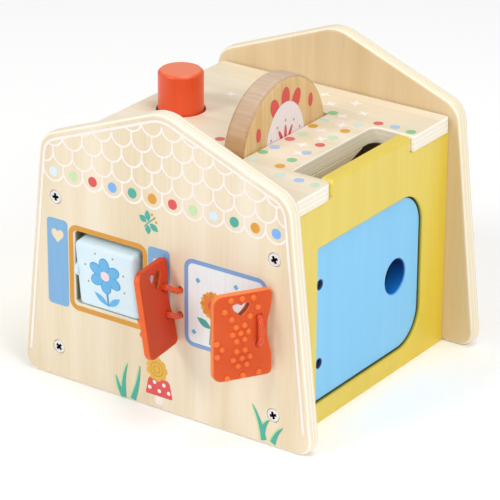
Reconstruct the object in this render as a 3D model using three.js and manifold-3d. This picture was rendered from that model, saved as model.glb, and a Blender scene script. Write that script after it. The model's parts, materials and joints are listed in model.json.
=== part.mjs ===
// A wooden activity house for a toddler: two plywood gables, two side walls, a roof deck and the things to play with.
// Millimetres, +Z up. x runs across the front, y runs back, and the front gable stands on y = 0.
// The origin is the middle of the front gable's underside.
import * as THREE from "three";
import { RoundedBoxGeometry } from "three/addons/geometries/RoundedBoxGeometry.js";
import { mergeVertices } from "three/addons/utils/BufferGeometryUtils.js";
import Module from "manifold-3d";

const wasm = await Module();
wasm.setup();

// Clearances
const glueGap = 0.1; // film between faces that are glued or screwed together
const runGap = 0.3; // gap round a pin, a rod, a screw or a dowel
const overrun = 1; // how far a cut passes the face that it opens

// Gables
const houseDepth = 172; // outer face of one gable to outer face of the other
const gableThick = 9;
const footWidth = 192.4;
const shoulderWidth = 162;
const shoulderHeight = 141.9;
const peakHeight = 172.8;
const footRound = 9;
const shoulderRound = 15;
const peakRound = 22;
const gableEdgeRound = 2.6;

// Side walls, with the tab of the right wall that closes the posting notch
const houseWidth = 150.4; // outer face of one wall to outer face of the other
const wallThick = 8;
const wallHeight = 127;
const tabRound = 1.5;
const tabCornerRound = 2.2;
const tabRoot = 14; // how deep the rounded tab reaches down into the wall

// Roof deck with its posting notch, wheel slot and chimney hole
const deckThick = 9.5;
const deckLip = 0.9; // how far the deck stands out past a wall
const deckEdgeRound = 0.8;
const deckCornerRound = 2.5;
const notchLength = 78;
const notchRound = 5; // rear inner corner of the notch
const notchFrontRound = 1.5; // front inner corner
const notchStripRound = 6.5; // end of the strip in front of the notch
const postWidth = 17.2; // clear width of the posting slot
const slotSideGap = 0.8;
const slotEndGap = 1;
const chimneyGap = 1.05;

// Base board
const baseThick = 8;
const baseLift = 2;

// Gable screws
const gableScrew = { head: 3.65, sink: 2.6, shank: 1.8, length: 30 };
const gableScrewLow = 18.9;
const gableScrewHigh = 107.9;
const headRim = 0.5; // straight rim of a screw head
const headSink = 0.2; // how deep a screw head lies below its face
const crossShares = { reach: 0.62, width: 0.27, depth: 0.5 }; // cross recess, as shares of the head

// Door in the right wall, on a rod that is pinned by two screws
const doorwayFrontPost = 25.7; // wall in front of the doorway
const doorwayBackPost = 24.4; // wall behind it
const doorwayLow = 11.5;
const doorwayHigh = 102.3;
const doorwayBackRound = 20.5;
const doorwayFrontRound = 1.2;
const doorFrontRound = 2.2;
const doorGap = 0.8;
const doorThick = 11;
const doorInset = 2; // door face behind the wall face
const doorEdgeRound = 0.7;
const hingeRound = 4.1; // round hinge edge about the rod
const rodDepth = 3.6; // rod centre behind the door's face
const rodRadius = 1.5;
const rodReach = 7; // how deep the rod's ends stand in the wall
const fingerRadius = 10;
const fingerFromEdge = 23.2; // centre of the finger hole from the free edge
const doorScrew = { head: 2.2, sink: 0.6, shank: 0.6, length: 9 };
const doorScrewSpread = 45.9;
const doorScrewWell = { radius: 2.7, depth: 1.1 };
const stopThick = 6;
const stopLength = 10;
const stopHeight = 14;

// Wheel in the roof deck, on an axle that lies in grooves of the deck's underside
const wheelFromNotch = 38; // wheel centre from the posting notch
const wheelRadius = 40;
const wheelThick = 14;
const wheelRound = 3;
const wheelRise = 2.7; // wheel centre above the deck's underside
const axleRadius = 3;
const axleLength = 42;
const keeperWidth = 12;
const keeperLength = 28;
const keeperHeight = 8;
const keeperScrewInset = 5;
const deckScrew = { head: 3, sink: 2, shank: 1.4, length: 13 };

// Chimney plunger: a sprung dowel with a flange below the deck
const chimneyFromWall = 16.7;
const chimneyRadius = 12.7;
const chimneyTop = 159.6;
const chimneyRound = 1.6;
const flangeRadius = 16;
const flangeThick = 4;
const stemRadius = 5;
const stemGrip = 20; // how far the stem stands in the plunger
const springTurns = 7;
const springRadius = 9;
const springWire = 1.3;
const springLength = 30;
const bridgeWidth = 20;
const bridgeThick = 4;
const bridgeSpan = 40; // clear width between the legs
const bridgeFoot = 11;
const stemReach = 6; // how far the stem stands through the bridge

// Window with the block that turns behind it
const windowFromWall = 31.45; // window centre from the left wall
const windowZ = 70.5;
const windowWidth = 45.5;
const windowHeight = 42.6;
const windowRound = 2.5;
const blockWidth = 40;
const blockSide = 39;
const blockRound = 3;
const blockDepth = 16.6; // block centre behind the gable's outer face
const blockLift = 0.4; // block centre above the window's centre
const blockTilt = 6.5; // degrees that the block is turned at rest
const sweepGap = 0.5;
const blockAxleRadius = 4;
const bossRadius = 3.6;
const bossRise = 2.2;
const bossInset = 3; // boss centre behind its face
const bracketWidth = 8.2;
const bracketDepth = 20;
const bracketHeight = 46;
const bracketGap = 0.2; // bracket beside the window's edge
const bracketScrewInset = 6;
const bracketScrew = { head: 3, sink: 2, shank: 1.4, length: 25.5 };

// Flaps on the front gable, each on a loop of cord
const flapFromWindow = 22.1; // left hinge axis from the window's edge
const flapInWall = 2; // right hinge axis inside the middle of the right wall
const flapMeetShare = 0.475; // where the closed flaps meet, as a share of the way between the axes
const flapMeet = 0.6; // gap between the free edges of the closed flaps
const flapHeight = 48.9;
const flapLow = 44.3;
const flapThick = 4;
const flapEdgeRound = 1.2;
const flapCornerRound = 5.5; // corners of the free edge
const flapHingeRound = 3; // corners of the hinge edge
const flapWaist = 2; // depth of the hollow in the hinge edge
const flapWaistReach = 15; // half length of the hollow
const flapWaistRound = 45;
const flapEdgeBack = 2; // hinge edge behind the hinge axis
const flapGap = 0.6; // closed flap to gable
const flapOpen = [82, 58]; // degrees that each flap stands open at rest
const flapLean = [-9, 0]; // degrees that the top of each hinge line leans to the right on its cord
const bumpRadius = 1.9;
const bumpRise = 1;
const heartWidth = 9.3;
const heartHeight = 7.7;
const heartShare = 0.54; // middle of the heart, as a share of the flap from its hinge axis
const heartLow = 36;
const cordRadius = 1.3;
const cordHoleRadius = 1.9;
const cordHoleFromAxis = 5.5;
const cordHoleLow = 18.6;
const cordHoleHigh = 34;
const cordBulge = 3; // how far the cord stands off the flap
const cordGableShift = [2.5, 4]; // gable holes beside each hinge axis
const cordGableLow = 16.4;
const cordGableHigh = 31;
const cordSlack = 2.2; // how far the cord stands off the flap's inner face
const knotRadius = 2.6;

// Bumps on a flap's outer face: from the hinge axis and from the bottom, as shares of its width and height
const bumpShares = [
  [0.72, 0.935], [0.52, 0.935], [0.32, 0.93], [0.24, 0.81], [0.38, 0.725], [0.83, 0.815], [0.71, 0.72],
  [0.63, 0.62], [0.48, 0.63], [0.41, 0.555], [0.545, 0.545], [0.69, 0.54], [0.48, 0.47], [0.62, 0.46],
  [0.9, 0.46], [0.88, 0.385], [0.9, 0.305], [0.47, 0.345], [0.62, 0.34], [0.38, 0.26], [0.525, 0.255],
  [0.68, 0.245], [0.44, 0.175], [0.595, 0.17], [0.22, 0.06], [0.5, 0.05], [0.78, 0.04],
];

// Places worked out from the sizes above
const backY = houseDepth - gableThick;
const midY = backY / 2;
const innerFront = gableThick / 2 + glueGap;
const innerDepth = backY - 2 * innerFront;
const wallX = (houseWidth - wallThick) / 2;
const wallInnerX = wallX - wallThick / 2;
const deckLow = wallHeight + glueGap;
const deckHigh = wallHeight + deckThick;
const deckWidth = houseWidth + 2 * deckLip;
const notchX = wallInnerX - postWidth;
const wheelX = notchX - wheelFromNotch;
const chimneyX = chimneyFromWall - wallInnerX;
const windowX = windowFromWall - wallInnerX;
const flapAxisX = [windowX + windowWidth / 2 + flapFromWindow, wallX - flapInWall];
const flapShares = [flapMeetShare, 1 - flapMeetShare];
const flapWidths = flapShares.map((share) => share * (flapAxisX[1] - flapAxisX[0]) - flapMeet / 2);
const doorwayFront = innerFront + doorwayFrontPost;
const doorwayBack = innerFront + innerDepth - doorwayBackPost;
const baseHigh = baseLift + baseThick;
const rodX = houseWidth / 2 - doorInset - rodDepth;
const rodY = doorwayFront + doorGap + hingeRound;
const doorLow = doorwayLow + doorGap;
const doorHigh = doorwayHigh - doorGap;
const doorFreeY = doorwayBack - doorGap;
const wheelZ = deckLow + wheelRise;
const blockZ = windowZ + blockLift;
const blockY = blockDepth - gableThick / 2;
const flapY = -gableThick / 2 - flapGap - flapThick / 2;

const colours = {
  birch: "#eedfc3", yellow: "#ead56b", sky: "#8dd0f7", beech: "#ddb276", orange: "#e0522c",
  flap: "#e8703f", cord: "#d2301f", block: "#d9eef5", steel: "#c9ccd0", pine: "#dcc193", dowel: "#e2c99d",
};

const radians = THREE.MathUtils.degToRad;

// A closed geometry as a solid.
function solid(geometry) {
  const bare = geometry.clone();
  for (const name of Object.keys(bare.attributes)) {
    if (name !== "position") bare.deleteAttribute(name);
  }
  const merged = mergeVertices(bare, 1e-4);
  const triVerts = new Uint32Array(merged.index.array);
  const vertProperties = merged.attributes.position.array;
  return new wasm.Manifold(new wasm.Mesh({ numProp: 3, vertProperties, triVerts }));
}

// A solid as a geometry with flat facets.
function geometryOf(manifold) {
  const { vertProperties, triVerts } = manifold.getMesh();
  const indexed = new THREE.BufferGeometry();
  indexed.setAttribute("position", new THREE.BufferAttribute(new Float32Array(vertProperties), 3));
  indexed.setIndex(new THREE.BufferAttribute(new Uint32Array(triVerts), 1));
  const faceted = indexed.toNonIndexed();
  faceted.computeVertexNormals();
  return faceted;
}

function join(first, ...others) {
  return geometryOf(others.reduce((whole, other) => whole.add(solid(other)), solid(first)));
}

function cut(body, ...tools) {
  return geometryOf(tools.reduce((whole, tool) => whole.subtract(solid(tool)), solid(body)));
}

function common(first, second) {
  return geometryOf(solid(first).intersect(solid(second)));
}

// A closed outline through corner points [x, y, radius], counter-clockwise.
function roundedOutline(corners) {
  const shape = new THREE.Shape();
  const count = corners.length;
  corners.forEach(([x, y, radius], i) => {
    const here = new THREE.Vector2(x, y);
    const [px, py] = corners[(i + count - 1) % count];
    const [nx, ny] = corners[(i + 1) % count];
    const back = new THREE.Vector2(px, py).sub(here).normalize();
    const ahead = new THREE.Vector2(nx, ny).sub(here).normalize();
    const half = Math.acos(THREE.MathUtils.clamp(back.dot(ahead), -1, 1)) / 2;
    const start = here.clone().addScaledVector(back, radius / Math.tan(half));
    if (i === 0) shape.moveTo(start.x, start.y);
    else shape.lineTo(start.x, start.y);
    if (radius === 0) return;
    const centre = here.clone().addScaledVector(back.clone().add(ahead).normalize(), radius / Math.sin(half));
    const end = here.clone().addScaledVector(ahead, radius / Math.tan(half));
    const clockwise = back.cross(ahead) > 0;
    const from = start.sub(centre).angle();
    const to = end.sub(centre).angle();
    shape.absarc(centre.x, centre.y, radius, from, to, clockwise);
  });
  shape.closePath();
  return shape;
}

function rectangle(x0, x1, y0, y1, radius) {
  return roundedOutline([[x0, y0, radius], [x1, y0, radius], [x1, y1, radius], [x0, y1, radius]]);
}

// A plate of an outline, centred on its plane, with its edges rounded over.
function plate(outline, thick, round = 0, curveSegments = 3) {
  const geometry = new THREE.ExtrudeGeometry(outline, {
    depth: thick - 2 * round,
    bevelEnabled: round > 0,
    bevelThickness: round,
    bevelSize: round,
    bevelOffset: -round,
    bevelSegments: round > 1 ? 2 : 1,
    curveSegments,
  });
  return geometry.translate(0, 0, round - thick / 2);
}

// Turn a plate that was drawn flat: its outline then lies in (y, z), or in (x, z).
function acrossX(geometry) {
  const axes = [new THREE.Vector3(0, 1, 0), new THREE.Vector3(0, 0, 1), new THREE.Vector3(1, 0, 0)];
  return geometry.applyMatrix4(new THREE.Matrix4().makeBasis(...axes));
}

function acrossY(geometry) {
  return geometry.rotateX(Math.PI / 2);
}

// Round bars, centred, along each axis.
function barZ(radius, length, sides = 16) {
  return new THREE.CylinderGeometry(radius, radius, length, sides).rotateX(Math.PI / 2);
}

function barX(radius, length, sides = 16) {
  return new THREE.CylinderGeometry(radius, radius, length, sides).rotateZ(Math.PI / 2);
}

function barY(radius, length, sides = 16) {
  return new THREE.CylinderGeometry(radius, radius, length, sides);
}

function box(x0, x1, y0, y1, z0, z1) {
  const geometry = new THREE.BoxGeometry(x1 - x0, y1 - y0, z1 - z0);
  return geometry.translate((x0 + x1) / 2, (y0 + y1) / 2, (z0 + z1) / 2);
}

// A body of revolution about the local y axis, from [radius, height] points that climb.
function turned(points, sides) {
  return new THREE.LatheGeometry(points.map(([r, h]) => new THREE.Vector2(r, h)), sides);
}

// A pin with small chamfers at its ends, centred, along the local y axis.
function pin(radius, length, chamfer, sides = 16) {
  const end = length / 2;
  return turned([
    [0, -end], [radius - chamfer, -end], [radius, chamfer - end],
    [radius, end - chamfer], [radius - chamfer, end], [0, end],
  ], sides);
}

// A countersunk screw, grown by a clearance: its head's face lies on z = 0 and its point looks down.
function screwBody({ head, sink, shank, length }, grow, above) {
  const tip = 2 * shank;
  return turned([
    [0, -length - grow], [shank + grow, tip - length], [shank + grow, -sink - grow / 2],
    [head + grow, -headRim], [head + grow, above], [0, above],
  ], 10).rotateX(Math.PI / 2);
}

function screw(size) {
  const reach = size.head * crossShares.reach;
  const half = (size.head * crossShares.width) / 2;
  const depth = size.sink * crossShares.depth;
  const bars = [box(-reach, reach, -half, half, -depth, overrun), box(-half, half, -reach, reach, -depth, overrun)];
  return cut(screwBody(size, 0, 0), ...bars);
}

// The hole of a screw, open at its head, at a place and a turn about x.
function screwHole(size, [x, y, z], turn) {
  return screwBody(size, runGap, overrun).rotateX(turn).translate(x, y, z);
}

// Heads that look forward, back and down.
const facing = { front: Math.PI / 2, back: -Math.PI / 2, down: Math.PI };

const root = new THREE.Group();

// One named piece of the house at its place.
function piece(parent, name, geometry, colour, [x, y, z] = [0, 0, 0], [rx, ry, rz] = [0, 0, 0]) {
  const metalness = colour === "steel" ? 0.9 : 0;
  const roughness = colour === "steel" ? 0.35 : 0.55;
  const material = new THREE.MeshStandardMaterial({ color: colours[colour], metalness, roughness });
  const mesh = new THREE.Mesh(geometry, material);
  mesh.name = name;
  mesh.position.set(x, y, z);
  mesh.rotation.set(rx, ry, rz);
  parent.add(mesh);
  return mesh;
}

// Screw places

const gableScrewPlaces = [
  ["left_upper", -wallX, gableScrewHigh], ["right_upper", wallX, gableScrewHigh],
  ["left_lower", -wallX, gableScrewLow], ["right_lower", wallX, gableScrewLow],
];
const frontHeadY = -gableThick / 2 + headSink;
const backHeadY = backY + gableThick / 2 - headSink;

const keeperEdge = wheelThick / 2 + slotSideGap + glueGap;
const keeperX = { left: wheelX - keeperEdge - keeperWidth / 2, right: wheelX + keeperEdge + keeperWidth / 2 };
const keeperScrewY = [midY - keeperLength / 2 + keeperScrewInset, midY + keeperLength / 2 - keeperScrewInset];
const keeperHeadZ = wallHeight - keeperHeight + headSink;
const keeperScrewPlaces = Object.entries(keeperX).flatMap(([side, x]) => [
  [side + "_front", x, keeperScrewY[0]], [side + "_back", x, keeperScrewY[1]],
]);

const bridgeFootY = bridgeSpan / 2 + bridgeThick + bridgeFoot / 2;
const bridgeScrew = { ...deckScrew, length: deckScrew.length - bridgeThick };
const bridgeHeadZ = wallHeight - bridgeThick + headSink;
const bridgeScrewPlaces = [["front", midY - bridgeFootY], ["back", midY + bridgeFootY]];

const bracketX = {
  left: windowX - windowWidth / 2 - bracketGap - bracketWidth / 2,
  right: windowX + windowWidth / 2 + bracketGap + bracketWidth / 2,
};
const bracketHeadY = innerFront + bracketDepth - headSink;
const bracketScrewRise = bracketHeight / 2 - bracketScrewInset;
const bracketScrewPlaces = Object.entries(bracketX).flatMap(([side, x]) => [
  [side + "_upper", x, blockZ + bracketScrewRise], [side + "_lower", x, blockZ - bracketScrewRise],
]);

// Gables

function gableOutline() {
  const foot = footWidth / 2;
  const shoulder = shoulderWidth / 2;
  return roundedOutline([
    [-foot, 0, footRound], [foot, 0, footRound], [shoulder, shoulderHeight, shoulderRound],
    [0, peakHeight, peakRound], [-shoulder, shoulderHeight, shoulderRound],
  ]);
}

// Flap frames and the holes of their cords: the left flap closes towards +x and the right one towards -x.

const flaps = ["left", "right"].map((side, i) => {
  const away = side === "left" ? 1 : -1;
  const closed = side === "left" ? 0 : Math.PI;
  return {
    side,
    away,
    place: [flapAxisX[i], flapY, flapLow],
    width: flapWidths[i],
    turn: [0, radians(flapLean[i]), closed - away * radians(flapOpen[i])],
    holeX: flapAxisX[i] + away * cordGableShift[i],
  };
});
const gableCordHoles = flaps.flatMap(({ holeX }) => [
  [holeX, flapLow + cordGableLow], [holeX, flapLow + cordGableHigh],
]);

function gable(turn) {
  const board = acrossY(plate(gableOutline(), gableThick, gableEdgeRound));
  const headY = turn === facing.front ? frontHeadY : gableThick / 2 - headSink;
  const holes = gableScrewPlaces.map(([, x, z]) => screwHole(gableScrew, [x, headY, z], turn));
  return cut(board, ...holes);
}

const blockReach = (blockSide / 2 - blockRound) * Math.SQRT2 + blockRound;

function frontGable() {
  const x0 = windowX - windowWidth / 2;
  const z0 = windowZ - windowHeight / 2;
  const opening = rectangle(x0, x0 + windowWidth, z0, z0 + windowHeight, windowRound);
  const sweep = barX(blockReach + sweepGap, windowWidth, 48).translate(windowX, blockY, blockZ);
  const bracketHoles = bracketScrewPlaces.map(([, x, z]) =>
    screwHole(bracketScrew, [x, bracketHeadY, z], facing.back));
  const cordHoles = gableCordHoles.map(([x, z]) =>
    barY(cordHoleRadius, gableThick + 2 * overrun, 12).translate(x, 0, z));
  const window = acrossY(plate(opening, gableThick + 2 * overrun, 0, 3));
  return cut(gable(facing.front), window, sweep, ...bracketHoles, ...cordHoles);
}

// Side walls and base

const wallFrontY = innerFront;
const wallBackY = innerFront + innerDepth;

function wallHoles(x) {
  return gableScrewPlaces.filter(([, sx]) => sx === x).flatMap(([, , z]) => [
    screwHole(gableScrew, [x, frontHeadY, z], facing.front),
    screwHole(gableScrew, [x, backHeadY, z], facing.back),
  ]);
}

function wallBoard(x) {
  return box(x - wallThick / 2, x + wallThick / 2, wallFrontY, wallBackY, 0, wallHeight);
}

// Pockets for the knots of the right flap's cord, in the front end of the right wall.
function knotPockets() {
  const depth = 2 * (knotRadius + runGap);
  return gableCordHoles.map(([x, z]) =>
    barY(knotRadius + runGap, depth + overrun, 16).translate(x, wallFrontY + (depth - overrun) / 2, z));
}

function leftWall() {
  return cut(wallBoard(-wallX), ...wallHoles(-wallX));
}

function rightWall() {
  const tabHalf = notchLength / 2 - runGap;
  const low = wallHeight - tabRoot;
  const tabOutline = rectangle(midY - tabHalf, midY + tabHalf, low, deckHigh, tabCornerRound);
  const tab = acrossX(plate(tabOutline, wallThick, tabRound)).translate(wallX, 0, 0);
  const doorway = roundedOutline([
    [doorwayFront, doorwayLow, doorwayFrontRound], [doorwayBack, doorwayLow, doorwayBackRound],
    [doorwayBack, doorwayHigh, doorwayBackRound], [doorwayFront, doorwayHigh, doorwayFrontRound],
  ]);
  const opening = acrossX(plate(doorway, wallThick + 2 * overrun, 0, 5)).translate(wallX, 0, 0);
  const rodHole = barZ(rodRadius + runGap, doorwayHigh - doorwayLow + 2 * (rodReach + runGap), 16)
    .translate(rodX, rodY, (doorwayLow + doorwayHigh) / 2);
  return cut(join(wallBoard(wallX), tab), opening, rodHole, ...wallHoles(wallX), ...knotPockets());
}

function baseBoard() {
  const half = wallInnerX - glueGap;
  return box(-half, half, wallFrontY, wallBackY, baseLift, baseHigh);
}

// Roof deck

function roofDeck() {
  const half = deckWidth / 2;
  const notchHalf = notchLength / 2;
  const outline = roundedOutline([
    [-half, wallFrontY, deckCornerRound], [half, wallFrontY, deckCornerRound],
    [half, midY - notchHalf, notchStripRound], [notchX, midY - notchHalf, notchFrontRound],
    [notchX, midY + notchHalf, notchRound], [half, midY + notchHalf, deckEdgeRound * 2],
    [half, wallBackY, deckCornerRound], [-half, wallBackY, deckCornerRound],
  ]);
  const board = plate(outline, deckHigh - deckLow, deckEdgeRound, 3).translate(0, 0, (deckLow + deckHigh) / 2);
  const slotHalf = wheelThick / 2 + slotSideGap;
  const slotReach = wheelRadius + slotEndGap;
  const slot = box(wheelX - slotHalf, wheelX + slotHalf, midY - slotReach, midY + slotReach,
    deckLow - overrun, deckHigh + overrun);
  const chimneyHole = barZ(chimneyRadius + chimneyGap, deckThick + 2 * overrun, 36)
    .translate(chimneyX, midY, (deckLow + deckHigh) / 2);
  const grooveRadius = axleRadius + runGap;
  const grooveHalf = axleLength / 2 + runGap;
  const groove = join(
    barX(grooveRadius, 2 * grooveHalf).translate(wheelX, midY, wheelZ),
    box(wheelX - grooveHalf, wheelX + grooveHalf, midY - grooveRadius, midY + grooveRadius,
      deckLow - overrun, wheelZ),
  );
  const keeperHoles = keeperScrewPlaces.map(([, x, y]) => screwHole(deckScrew, [x, y, keeperHeadZ], facing.down));
  const bridgeHoles = bridgeScrewPlaces.map(([, y]) =>
    screwHole(bridgeScrew, [chimneyX, y, bridgeHeadZ], facing.down));
  return cut(board, slot, chimneyHole, groove, ...keeperHoles, ...bridgeHoles);
}

// Door, its rod, its screws and its stop

const doorFaceX = houseWidth / 2 - doorInset;
const doorMidX = doorFaceX - doorThick / 2;
const doorMidZ = (doorLow + doorHigh) / 2;
const doorScrewZ = [doorMidZ - doorScrewSpread / 2, doorMidZ + doorScrewSpread / 2];
const doorScrewX = doorFaceX - doorScrewWell.depth;

function doorScrewHole(z) {
  const head = screwBody(doorScrew, runGap, overrun).rotateY(Math.PI / 2).translate(doorScrewX, rodY, z);
  const { radius, depth } = doorScrewWell;
  const well = barX(radius, depth + overrun, 20).translate(doorFaceX + (overrun - depth) / 2, rodY, z);
  return [head, well];
}

function doorPanel() {
  const back = doorwayBackRound - doorGap;
  const edgeY = rodY - hingeRound;
  const outline = roundedOutline([
    [edgeY, doorLow, doorFrontRound], [doorFreeY, doorLow, back],
    [doorFreeY, doorHigh, back], [edgeY, doorHigh, doorFrontRound],
  ]);
  const board = acrossX(plate(outline, doorThick, doorEdgeRound, 5)).translate(doorMidX, 0, 0);
  const nose = barZ(hingeRound, doorHigh - doorLow, 32).translate(rodX, rodY, doorMidZ);
  const rest = [
    box(doorFaceX - doorThick, rodX, edgeY, doorFreeY, doorLow, doorHigh),
    box(doorFaceX - doorThick, doorFaceX, rodY, doorFreeY, doorLow, doorHigh),
  ];
  const envelope = join(nose, ...rest);
  const finger = barX(fingerRadius, doorThick + 2 * overrun, 40)
    .translate(doorMidX, doorFreeY - fingerFromEdge, doorMidZ);
  const bore = barZ(rodRadius + runGap, doorHigh - doorLow + 2 * overrun, 16).translate(rodX, rodY, doorMidZ);
  return cut(common(board, envelope), finger, bore, ...doorScrewZ.flatMap(doorScrewHole));
}

function doorRod() {
  const length = doorwayHigh - doorwayLow + 2 * rodReach;
  const rod = pin(rodRadius, length, rodRadius / 4, 16).rotateX(Math.PI / 2).translate(rodX, rodY, doorMidZ);
  return cut(rod, ...doorScrewZ.map((z) => barX(doorScrew.shank + runGap, 4 * rodRadius, 12).translate(rodX, rodY, z)));
}

function addDoor() {
  piece(root, "door_panel", doorPanel(), "sky");
  piece(root, "door_rod", doorRod(), "steel");
  ["lower", "upper"].forEach((level, i) => {
    piece(root, "door_screw_" + level, screw(doorScrew), "steel",
      [doorScrewX, rodY, doorScrewZ[i]], [0, Math.PI / 2, 0]);
  });
  const stopX = doorFaceX - doorThick - runGap;
  const stopY = doorFreeY - doorwayBackRound;
  const stop = box(stopX - stopThick, stopX, stopY, stopY + stopLength, baseHigh + glueGap, baseHigh + stopHeight);
  piece(root, "door_stop", stop, "pine");
}

// Wheel, axle and keepers

function wheelDisc() {
  const half = wheelThick / 2;
  const bore = axleRadius + runGap;
  const profile = [[bore, -half]];
  const steps = 2;
  for (let i = 0; i <= steps; i += 1) {
    const angle = (i / steps) * (Math.PI / 2);
    profile.push([wheelRadius - wheelRound + wheelRound * Math.sin(angle),
      wheelRound - half - wheelRound * Math.cos(angle)]);
  }
  const mirrored = profile.slice().reverse().map(([r, h]) => [r, -h]);
  return turned([...profile, ...mirrored, profile[0]], 60).rotateZ(Math.PI / 2);
}

function keeper(x) {
  const block = box(x - keeperWidth / 2, x + keeperWidth / 2, midY - keeperLength / 2, midY + keeperLength / 2,
    wallHeight - keeperHeight, wallHeight);
  const groove = barX(axleRadius + runGap, axleLength + 2 * runGap).translate(wheelX, midY, wheelZ);
  const holes = keeperScrewPlaces.filter(([, sx]) => sx === x)
    .map(([, , y]) => screwHole(deckScrew, [x, y, keeperHeadZ], facing.down));
  return cut(block, groove, ...holes);
}

function addWheel() {
  piece(root, "wheel_disc", wheelDisc(), "beech", [wheelX, midY, wheelZ]);
  piece(root, "wheel_axle", pin(axleRadius, axleLength, axleRadius / 4).rotateZ(Math.PI / 2), "steel",
    [wheelX, midY, wheelZ]);
  for (const [side, x] of Object.entries(keeperX)) piece(root, "axle_keeper_" + side, keeper(x), "pine");
  for (const [name, x, y] of keeperScrewPlaces) {
    piece(root, "keeper_screw_" + name, screw(deckScrew), "steel", [x, y, keeperHeadZ], [facing.down, 0, 0]);
  }
}

// Chimney plunger, spring and bridge

const flangeHigh = deckLow - runGap;
const flangeLow = flangeHigh - flangeThick;
const bridgeHigh = flangeLow - springLength;
const bridgeLow = bridgeHigh - bridgeThick;
const stemTop = flangeHigh + stemGrip;
const stemLow = bridgeLow - stemReach;

function plunger() {
  const steps = 3;
  const profile = [[0, flangeHigh], [chimneyRadius, flangeHigh]];
  for (let i = 0; i <= steps; i += 1) {
    const angle = (i / steps) * (Math.PI / 2);
    profile.push([chimneyRadius - chimneyRound * (1 - Math.cos(angle)),
      chimneyTop - chimneyRound * (1 - Math.sin(angle))]);
  }
  profile.push([0, chimneyTop]);
  const dowel = turned(profile, 40).rotateX(Math.PI / 2);
  const bore = barZ(stemRadius + runGap, stemGrip + runGap + overrun)
    .translate(0, 0, flangeHigh + (stemGrip + runGap - overrun) / 2);
  return cut(dowel, bore);
}

function flange() {
  const disc = barZ(flangeRadius, flangeThick - glueGap, 40).translate(0, 0, (flangeLow + flangeHigh - glueGap) / 2);
  return cut(disc, barZ(stemRadius + runGap, flangeThick + 2 * overrun).translate(0, 0, flangeLow + flangeThick / 2));
}

class Helix extends THREE.Curve {
  constructor(radius, height, turns) {
    super();
    Object.assign(this, { radius, height, turns });
  }

  getPoint(t, target = new THREE.Vector3()) {
    const angle = t * this.turns * 2 * Math.PI;
    return target.set(this.radius * Math.cos(angle), this.radius * Math.sin(angle), t * this.height);
  }
}

// A round cord or wire along a curve.
function strand(curve, radius, steps, sides) {
  const section = new THREE.Shape();
  section.absarc(0, 0, radius, 0, 2 * Math.PI, false);
  return new THREE.ExtrudeGeometry(section, { steps, extrudePath: curve, curveSegments: sides / 2 });
}

function spring() {
  const height = springLength - springWire - 2 * runGap;
  const wire = strand(new Helix(springRadius, height, springTurns), springWire / 2, springTurns * 10, 6);
  return wire.translate(0, 0, bridgeHigh + runGap + springWire / 2);
}

function bridge() {
  const inner = bridgeSpan / 2;
  const outer = inner + bridgeThick;
  const foot = outer + bridgeFoot;
  const footLow = wallHeight - bridgeThick;
  const outline = roundedOutline([
    [-outer, bridgeLow, bridgeThick / 2], [outer, bridgeLow, bridgeThick / 2], [outer, footLow, 0],
    [foot, footLow, 0], [foot, wallHeight, 0], [inner, wallHeight, 0],
    [inner, bridgeHigh, 0], [-inner, bridgeHigh, 0], [-inner, wallHeight, 0],
    [-foot, wallHeight, 0], [-foot, footLow, 0], [-outer, footLow, 0],
  ]);
  const strap = acrossX(plate(outline, bridgeWidth, 0, 3)).translate(chimneyX, midY, 0);
  const stemHole = barZ(stemRadius + runGap, bridgeThick + 2 * overrun)
    .translate(chimneyX, midY, (bridgeLow + bridgeHigh) / 2);
  const holes = bridgeScrewPlaces.map(([, y]) => screwHole(bridgeScrew, [chimneyX, y, bridgeHeadZ], facing.down));
  return cut(strap, stemHole, ...holes);
}

function addChimney() {
  const place = [chimneyX, midY, 0];
  const stem = pin(stemRadius, stemTop - stemLow, stemRadius / 5).rotateX(Math.PI / 2)
    .translate(0, 0, (stemTop + stemLow) / 2);
  piece(root, "chimney_plunger", plunger(), "orange", place);
  piece(root, "plunger_flange", flange(), "pine", place);
  piece(root, "plunger_stem", stem, "dowel", place);
  piece(root, "plunger_spring", spring(), "steel", place);
  piece(root, "plunger_bridge", bridge(), "pine");
  for (const [name, y] of bridgeScrewPlaces) {
    piece(root, "bridge_screw_" + name, screw(bridgeScrew), "steel", [chimneyX, y, bridgeHeadZ], [facing.down, 0, 0]);
  }
}

// Spin block, axle and brackets

function spinBlock() {
  const cube = new RoundedBoxGeometry(blockWidth, blockSide, blockSide, 2, blockRound);
  const bosses = [0, 1, 2, 3].map((quarter) =>
    new THREE.SphereGeometry(1, 10, 6).scale(bossRise, bossRadius, bossRadius)
      .translate(-blockWidth / 2, bossInset - blockSide / 2, 0).rotateX((quarter * Math.PI) / 2));
  const bore = barX(blockAxleRadius + runGap, blockWidth + 2 * overrun);
  return cut(join(cube, ...bosses), bore);
}

function bracket(x) {
  const block = box(x - bracketWidth / 2, x + bracketWidth / 2, innerFront, innerFront + bracketDepth,
    blockZ - bracketHeight / 2, blockZ + bracketHeight / 2);
  const bore = barX(blockAxleRadius + runGap, bracketWidth + 2 * overrun).translate(x, blockY, blockZ);
  const holes = bracketScrewPlaces.filter(([, sx]) => sx === x)
    .map(([, , z]) => screwHole(bracketScrew, [x, bracketHeadY, z], facing.back));
  return cut(block, bore, ...holes);
}

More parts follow.
